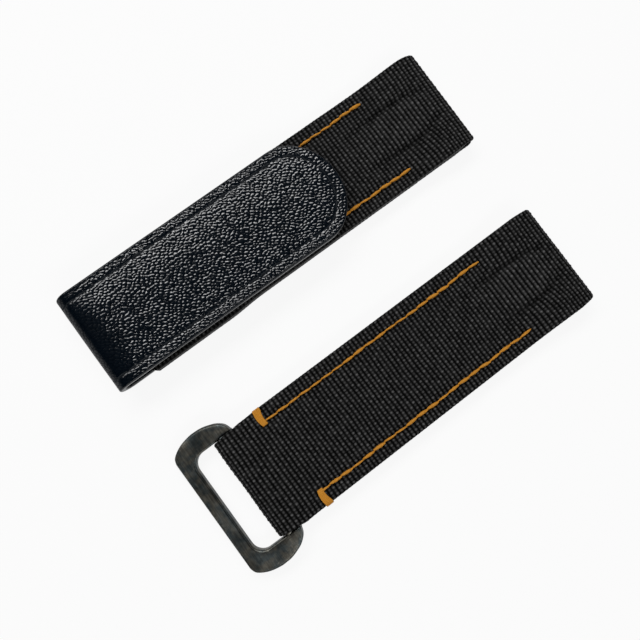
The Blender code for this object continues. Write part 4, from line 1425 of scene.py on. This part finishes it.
def moulded_hooks():
    """Black moulded nylon, smooth with small dull specks."""
    material, tree, shader = new_material("moulded_hook_nylon", Specular_IOR_Level=0.5)
    place = add_node(tree, "ShaderNodeTexCoord").outputs["Object"]
    tint = tinted(tree, (0.006, 0.006, 0.007), (0.018, 0.018, 0.020), {"Coordinates": place})
    tree.links.new(tint, shader.inputs["Base Color"])
    specks = noise(tree, place, 2600.0, 2.0)["Fac"]
    tree.links.new(ranged(tree, specks, 0.28, 0.48, 0.3, 0.7), shader.inputs["Roughness"])
    return material


def foam():
    """Dark open foam, with painted shade in its pores."""
    material, tree, shader = new_material("filler_foam", Roughness=0.95)
    place = add_node(tree, "ShaderNodeTexCoord").outputs["Object"]
    pores = add_node(tree, "ShaderNodeTexVoronoi", {"Scale": 2400.0, "Vector": place}).outputs["Distance"]
    clouds = {"Coordinates": place, "Relief": pores}
    # Painted shade: the colour is darkest at the bottom of each pore
    tint = tinted(tree, (0.012, 0.012, 0.012), (0.060, 0.060, 0.062), clouds)
    tree.links.new(tint, shader.inputs["Base Color"])
    bumped(tree, shader, pores, 0.8, 0.0001)
    return material


# Operators


class STRAP_OT_woven_uppers(bpy.types.Operator):
    """Weave the black nylon uppers of both halves"""

    bl_idname = "strap.woven_uppers"
    bl_label = "Woven Uppers"

    def execute(self, context):
        for name in ("hook_half", "ring_half"):
            upper = woven_upper(Half(name))
            finish_piece(upper, woven_nylon(), [name + "_fabric"], name)
        return {"FINISHED"}


class STRAP_OT_inner_layers(bpy.types.Operator):
    """Make the linings, the foam fillers and the folded tapes at the case ends"""

    bl_idname = "strap.inner_layers"
    bl_label = "Inner Layers"

    def execute(self, context):
        soft = foam()
        lining = cloth_material(
            "lining_cloth",
            (0.022, 0.022, 0.024),
            (0.008, 0.008, 0.009),
            (0.7, 0.9),
            (0.6, 0.00003),
            Specular_IOR_Level=0.3,
            Sheen_Weight=0.15,
        )
        tape = cloth_material(
            "reinforcing_tape", (0.022, 0.022, 0.023), (0.006, 0.006, 0.006), (0.7, 0.9), (0.6, 0.00003)
        )
        for name in ("hook_half", "ring_half"):
            half = Half(name)
            start, end, reach, low, high = half.span(name + "_lining")
            cloth = slab(
                name + "_lining_cloth",
                half,
                (start, end, reach, 0.0, high),
                0.0002,
                (44, 2, 1, 2, 0, 0, 8),
                lining_relief(half),
                upwards=False,
            )
            finish_piece(cloth, lining, [name + "_lining"], name)
            pad = slab(
                name + "_foam_filler",
                half,
                half.span(name + "_filler"),
                0.0005,
                (18, 2, 1, 2, 0, 0, 18),
                lambda along, side: 0.00004 * value_noise(along, side, 0.0011, 61) - 0.00004,
            )
            finish_piece(pad, soft, [name + "_filler"], name)
            start, end, reach, low, high = half.span(name + "_case_tape")
            folded = slab(
                name + "_folded_tape",
                half,
                (start, end, reach, low, lambda along: half.height(along) - FABRIC - LAYER_GAP),
                0.0003,
                (14, 2, 2, 2, 0, 0, 6),
                ribbed(0.0006),
            )
            finish_piece(folded, tape, [name + "_case_tape"], name)
        return {"FINISHED"}


class STRAP_OT_leather_tongue(bpy.types.Operator):
    """Form the grained leather round its fold"""

    bl_idname = "strap.leather_tongue"
    bl_label = "Leather Tongue"

    def execute(self, context):
        leather, fold = folded_leather()
        finish_piece(
            leather, grained_leather(), ["tongue_leather", "tongue_root_leather"], None
        )
        bend_at_fold(leather)
        look = settings().thread
        size = (look.edge_pitch, look.edge_diameter)
        rows = [stitches(*tongue_seam_path(fold), *size, 0.00012, 0.00024, seed=5, lens=0.5)]
        seam = stitch_object(
            "black_edge_stitches", rows, black_thread(), ["tongue_edge_seam"], None
        )
        bend_at_fold(seam)
        return {"FINISHED"}


def bend_at_fold(obj):
    """Bakes a piece's placement into its mesh."""
    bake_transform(obj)


class STRAP_OT_seams(bpy.types.Operator):
    """Sew the orange seams, their tacks and the box of stitches under the tongue"""

    bl_idname = "strap.seams"
    bl_label = "Seams"

    def execute(self, context):
        orange = orange_thread()
        for name in ("hook_half", "ring_half"):
            half = Half(name)
            for sign, label in ((1, "left"), (-1, "right")):
                node = f"{name}_seam_{label}"
                end = half.length - TACK_FROM_FRONT if half.has_ring else half.span(node)[1]
                rows = fabric_seam(half, sign, end)
                piece = f"{name}_orange_stitches_{label}"
                stitch_object(piece, rows, orange, [node], name)
        self.root_seam(Half("hook_half"))
        return {"FINISHED"}

    def root_seam(self, half):
        """Box of stitches along the outline of its CAD node, set in by half a thread."""
        look = settings().thread
        near, far, reach = half.span("tongue_root_seam")[:3]
        box = np.array([(near, reach), (far, reach), (far, -reach), (near, -reach), (near, reach)])
        inset = look.seam_diameter / 2
        normal = np.tile((0.0, 0.0, 1.0), (BOX_SEAM_POINTS, 1))
        rows = []
        for start, end in zip(box[:-1], box[1:]):
            along, side = np.linspace(start, end, BOX_SEAM_POINTS).T
            points = half.place(along, side * (1 - inset / reach), half.height(along))
            rows.append(stitches(points, normal, look.seam_pitch, 0.0005, 0.00020, 0.00012, seed=8))
        nodes = ["tongue_root_seam"]
        stitch_object("tongue_root_stitches", rows, black_thread(), nodes, "hook_half")


class STRAP_OT_closure(bpy.types.Operator):
    """Make the loop pile on the strap and the moulded hooks under the tongue"""

    bl_idname = "strap.closure"
    bl_label = "Hook and Loop Closure"

    def execute(self, context):
        look = settings().closure
        half = Half("hook_half")
        self.loops(look, half)
        self.hooks(look, half)
        return {"FINISHED"}

    def loops(self, look, half):
        """Ground tape and a pile of loops, arcs of 230 degrees that turn and lean by chance."""
        start, end, reach, low, high = half.span("loop_tape")
        ground = 0.00022
        pile = cloth_material(
            "loop_pile_yarn", (0.030, 0.030, 0.032), (0.008, 0.008, 0.009), (0.6, 0.8), Sheen_Weight=0.3
        )
        base = slab(
            "loop_tape_ground",
            half,
            (start, end, reach, low, low + ground),
            0.0003,
            (24, 2, 1, 2, 0, 0, 6),
            ribbed(0.0007),
        )
        finish_piece(base, pile, ["loop_tape"], "hook_half")
        random = np.random.default_rng(71)
        below = 25
        arch = np.radians(np.linspace(-below, 180 + below, 8))
        tall = (high - low - ground) / (look.loop_radius * (1 + math.sin(math.radians(below))))
        upright = look.loop_radius * (np.sin(arch) + 0.42) * tall * 0.86
        shape = np.stack([look.loop_radius * np.cos(arch), 0 * arch, upright], -1)
        points, quads = tube(shape, 0.000035, 3)
        count = look.loop_count
        margin = look.loop_radius * 1.5
        along = random.uniform(start + margin, end - margin, count)
        side = random.uniform(margin - reach, reach - margin, count)
        places = half.place(along, side, np.full(count, low + ground - 0.00004))
        turns = random.uniform(0, math.pi, count)
        leans = random.uniform(-0.5, 0.5, count)
        points, quads = copies(points, quads, places, turned(turns, leans))
        loops = mesh_object("loop_tape_pile", points, quads, coordinates=points[:, :2])
        loops.data.materials.append(pile)
        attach(loops, "hook_half")

    def hooks(self, look, half):
        """Backing with the tongue's outline and rows of hooks that bend back and forth by turns."""
        low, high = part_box("hook_tape")
        start, end, reach = half.span("hook_tape")[:3]
        middle = (high.y + low.y) / 2 - half.middle
        depth = TONGUE_TIP_DEPTH - 0.0007
        height = look.hook_height
        back = high.z - low.z - height
        material = moulded_hooks()
        rows = np.linspace(0, 1, 60)[:, None]
        columns = np.linspace(-1, 1, 61)
        inset = depth * drawn_in(columns * 0.9999)
        along = start + inset + (end - start - inset) * rows
        side = middle + reach * columns + 0 * along
        levels = (high.z, high.z - back)
        sheets = [half.place(along, side, np.full(along.shape, level)) for level in levels]
        index = numbered(along.shape)
        rim = np.concatenate([index[0], index[1:, -1], index[-1, -2::-1], index[-2:0:-1, 0]])
        wall = grid_quads(np.stack([rim, rim + along.size]), closed_columns=True)
        quads = np.concatenate([grid_quads(index), grid_quads(index + along.size)[:, ::-1], wall])
        base = mesh_object("hook_tape_ground", np.concatenate([s.reshape(-1, 3) for s in sheets]), quads)
        finish_piece(base, material, ["hook_tape"], "tongue")
        bow = np.radians(np.linspace(180, 10, 6))
        bent = 0.32 * height
        stem = [(-bent, 0, 0.02 * height), (-bent, 0, -0.45 * height)]
        crook = np.stack([bent * np.cos(bow), 0 * bow, -0.60 * height - 0.34 * height * np.sin(bow)], -1)
        points, quads = tube(np.concatenate([stem, crook]), 0.00007, 4)
        grid_along, grid_side = np.meshgrid(
            np.arange(start + 0.0010, end - 0.0006, look.hook_pitch),
            np.arange(0.0006 - reach, reach - 0.0004, 0.00085),
            indexing="ij",
        )
        odd = np.arange(grid_along.shape[1]) % 2
        grid_along = grid_along + odd * look.hook_pitch / 2
        outline = start + depth * drawn_in(grid_side / reach) + 0.0008
        keep = (grid_along > outline) & (grid_along < end - 0.0005)
        flip = np.broadcast_to(odd * math.pi, grid_along.shape)[keep]
        level = np.full(keep.sum(), high.z - back)
        places = half.place(grid_along[keep], middle + grid_side[keep], level)
        points, quads = copies(points, quads, places, turned(flip))
        hooks = mesh_object("hook_tape_hooks", points, quads)
        hooks.data.materials.append(material)
        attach(hooks, "tongue")


class STRAP_OT_keeper_ring(bpy.types.Operator):
    """Cast the gunmetal keeper ring"""

    bl_idname = "strap.keeper_ring"
    bl_label = "Keeper Ring"

    def execute(self, context):
        keeper_ring()
        return {"FINISHED"}


class STRAP_OT_stage(bpy.types.Operator):
    """Set the pale floor, the soft light and the camera of the photograph"""

    bl_idname = "strap.stage"
    bl_label = "Stage"

    def execute(self, context):
        look = settings().stage
        scene = context.scene
        scene.view_settings.view_transform = "Standard"
        add_floor(look)
        add_world(look)
        add_window("window_light", *WINDOW_LIGHT, look.window_power)
        add_window("fill_light", *FILL_LIGHT, look.fill_power)
        data = bpy.data.cameras.new("photo_camera")
        data.lens = CAMERA_LENS
        data.sensor_width = CAMERA_SENSOR
        data.clip_start, data.clip_end = 0.005, 10.0
        camera = bpy.data.objects.new("photo_camera", data)
        right, up = Vector(CAMERA_RIGHT), Vector(CAMERA_UP)
        camera.matrix_world = Matrix((right, up, right.cross(up))).transposed().to_4x4()
        camera.location = CAMERA_PLACE
        scene.collection.objects.link(camera)
        scene.camera = camera
        return {"FINISHED"}


def add_floor(look):
    """A plain pale floor that keeps the shadow.

    It is lifted towards white where the camera sees it directly, or in gloss or glass."""
    reach = look.floor_size / 2
    corners = np.array([(-1, -1, 0), (1, -1, 0), (1, 1, 0), (-1, 1, 0)]) * reach
    corners[:, 2] = FLOOR_LEVEL
    mesh = bpy.data.meshes.new("pale_floor")
    mesh.from_pydata(corners.tolist(), [], [(0, 1, 2, 3)])
    floor = bpy.data.objects.new("pale_floor", mesh)
    bpy.context.scene.collection.objects.link(floor)
    material, tree, shader = new_material("pale_floor", Roughness=1.0, Specular_IOR_Level=0.0)
    shader.inputs["Base Color"].default_value = (0.90, 0.90, 0.90, 1)
    white = add_node(tree, "ShaderNodeEmission", {"Strength": 1.0})
    path = add_node(tree, "ShaderNodeLightPath").outputs
    seen = combined(tree, "MAXIMUM", path["Is Camera Ray"], path["Is Glossy Ray"])
    seen = combined(tree, "MAXIMUM", seen, path["Is Transmission Ray"])
    amount = combined(tree, "MULTIPLY", seen, look.floor_glow)
    mixed = add_node(tree, "ShaderNodeMixShader", {0: amount, 1: shader.outputs[0], 2: white.outputs[0]})
    tree.links.new(mixed.outputs[0], tree.nodes["Material Output"].inputs["Surface"])
    mesh.materials.append(material)


def add_world(look):
    """Plain light from all sides. What is seen of it directly is white, and in gloss it is white
    round the horizon and falls to the level of the dark room overhead."""
    world = bpy.data.worlds.new("pale_surround")
    bpy.context.scene.world = world
    world.use_nodes = True
    tree = world.node_tree
    background = tree.nodes["Background"]
    background.inputs["Color"].default_value = (1, 1, 1, 1)
    direction = add_node(tree, "ShaderNodeTexCoord").outputs["Generated"]
    up = add_node(tree, "ShaderNodeSeparateXYZ", {0: direction}).outputs["Z"]
    in_gloss = ranged(tree, up, 1.0, look.overhead, 0.10, 0.42)
    path = add_node(tree, "ShaderNodeLightPath").outputs
    clear = combined(tree, "MAXIMUM", path["Is Camera Ray"], path["Is Transmission Ray"])
    glossy = {0: path["Is Glossy Ray"], 2: look.surround, 3: in_gloss}
    level = add_node(tree, "ShaderNodeMix", glossy).outputs[0]
    level = add_node(tree, "ShaderNodeMix", {0: clear, 2: level, 3: 1.0}).outputs[0]
    tree.links.new(level, background.inputs["Strength"])


def add_window(name, place, width, height, watts):
    """A soft rectangular light that faces the part."""
    data = bpy.data.lights.new(name, "AREA")
    data.shape = "RECTANGLE"
    data.size, data.size_y = width, height
    data.energy = watts
    light = bpy.data.objects.new(name, data)
    light.location = place
    light.rotation_euler = (-Vector(place)).to_track_quat("-Z", "Y").to_euler()
    bpy.context.scene.collection.objects.link(light)


PIECES = (
    STRAP_OT_stage,
    STRAP_OT_woven_uppers,
    STRAP_OT_inner_layers,
    STRAP_OT_leather_tongue,
    STRAP_OT_seams,
    STRAP_OT_closure,
    STRAP_OT_keeper_ring,
)
GROUPS = (
    WeaveSettings,
    LeatherSettings,
    ThreadSettings,
    ClosureSettings,
    RingSettings,
    StageSettings,
    StrapSettings,
)


class VIEW3D_PT_watch_strap(bpy.types.Panel):
    """Buttons and sizes of the watch strap"""

    bl_label = "Watch Strap"
    bl_space_type = "VIEW_3D"
    bl_region_type = "UI"
    bl_category = "Watch Strap"

    def draw(self, context):
        """One button to a piece and one box to a group of settings."""
        column = self.layout.column()
        for piece in PIECES:
            column.operator(piece.bl_idname)
        look = context.scene.watch_strap
        for name in ("weave", "leather", "thread", "closure", "ring", "stage"):
            box = self.layout.box()
            box.label(text=name.title())
            group = getattr(look, name)
            for key in group.__annotations__:
                box.prop(group, key)


def register():
    """Adds the settings, the operators and the panel."""
    for cls in (*GROUPS, *PIECES, VIEW3D_PT_watch_strap):
        bpy.utils.register_class(cls)
    bpy.types.Scene.watch_strap = bpy.props.PointerProperty(type=StrapSettings)


def unregister():
    """Takes away what register added."""
    del bpy.types.Scene.watch_strap
    for cls in reversed((*GROUPS, *PIECES, VIEW3D_PT_watch_strap)):
        bpy.utils.unregister_class(cls)


def main():
    """Builds the stage and every piece."""
    register()
    bpy.ops.strap.stage()
    bpy.ops.strap.woven_uppers()
    bpy.ops.strap.inner_layers()
    bpy.ops.strap.leather_tongue()
    bpy.ops.strap.seams()
    bpy.ops.strap.closure()
    bpy.ops.strap.keeper_ring()


if __name__ == "__main__":
    main()
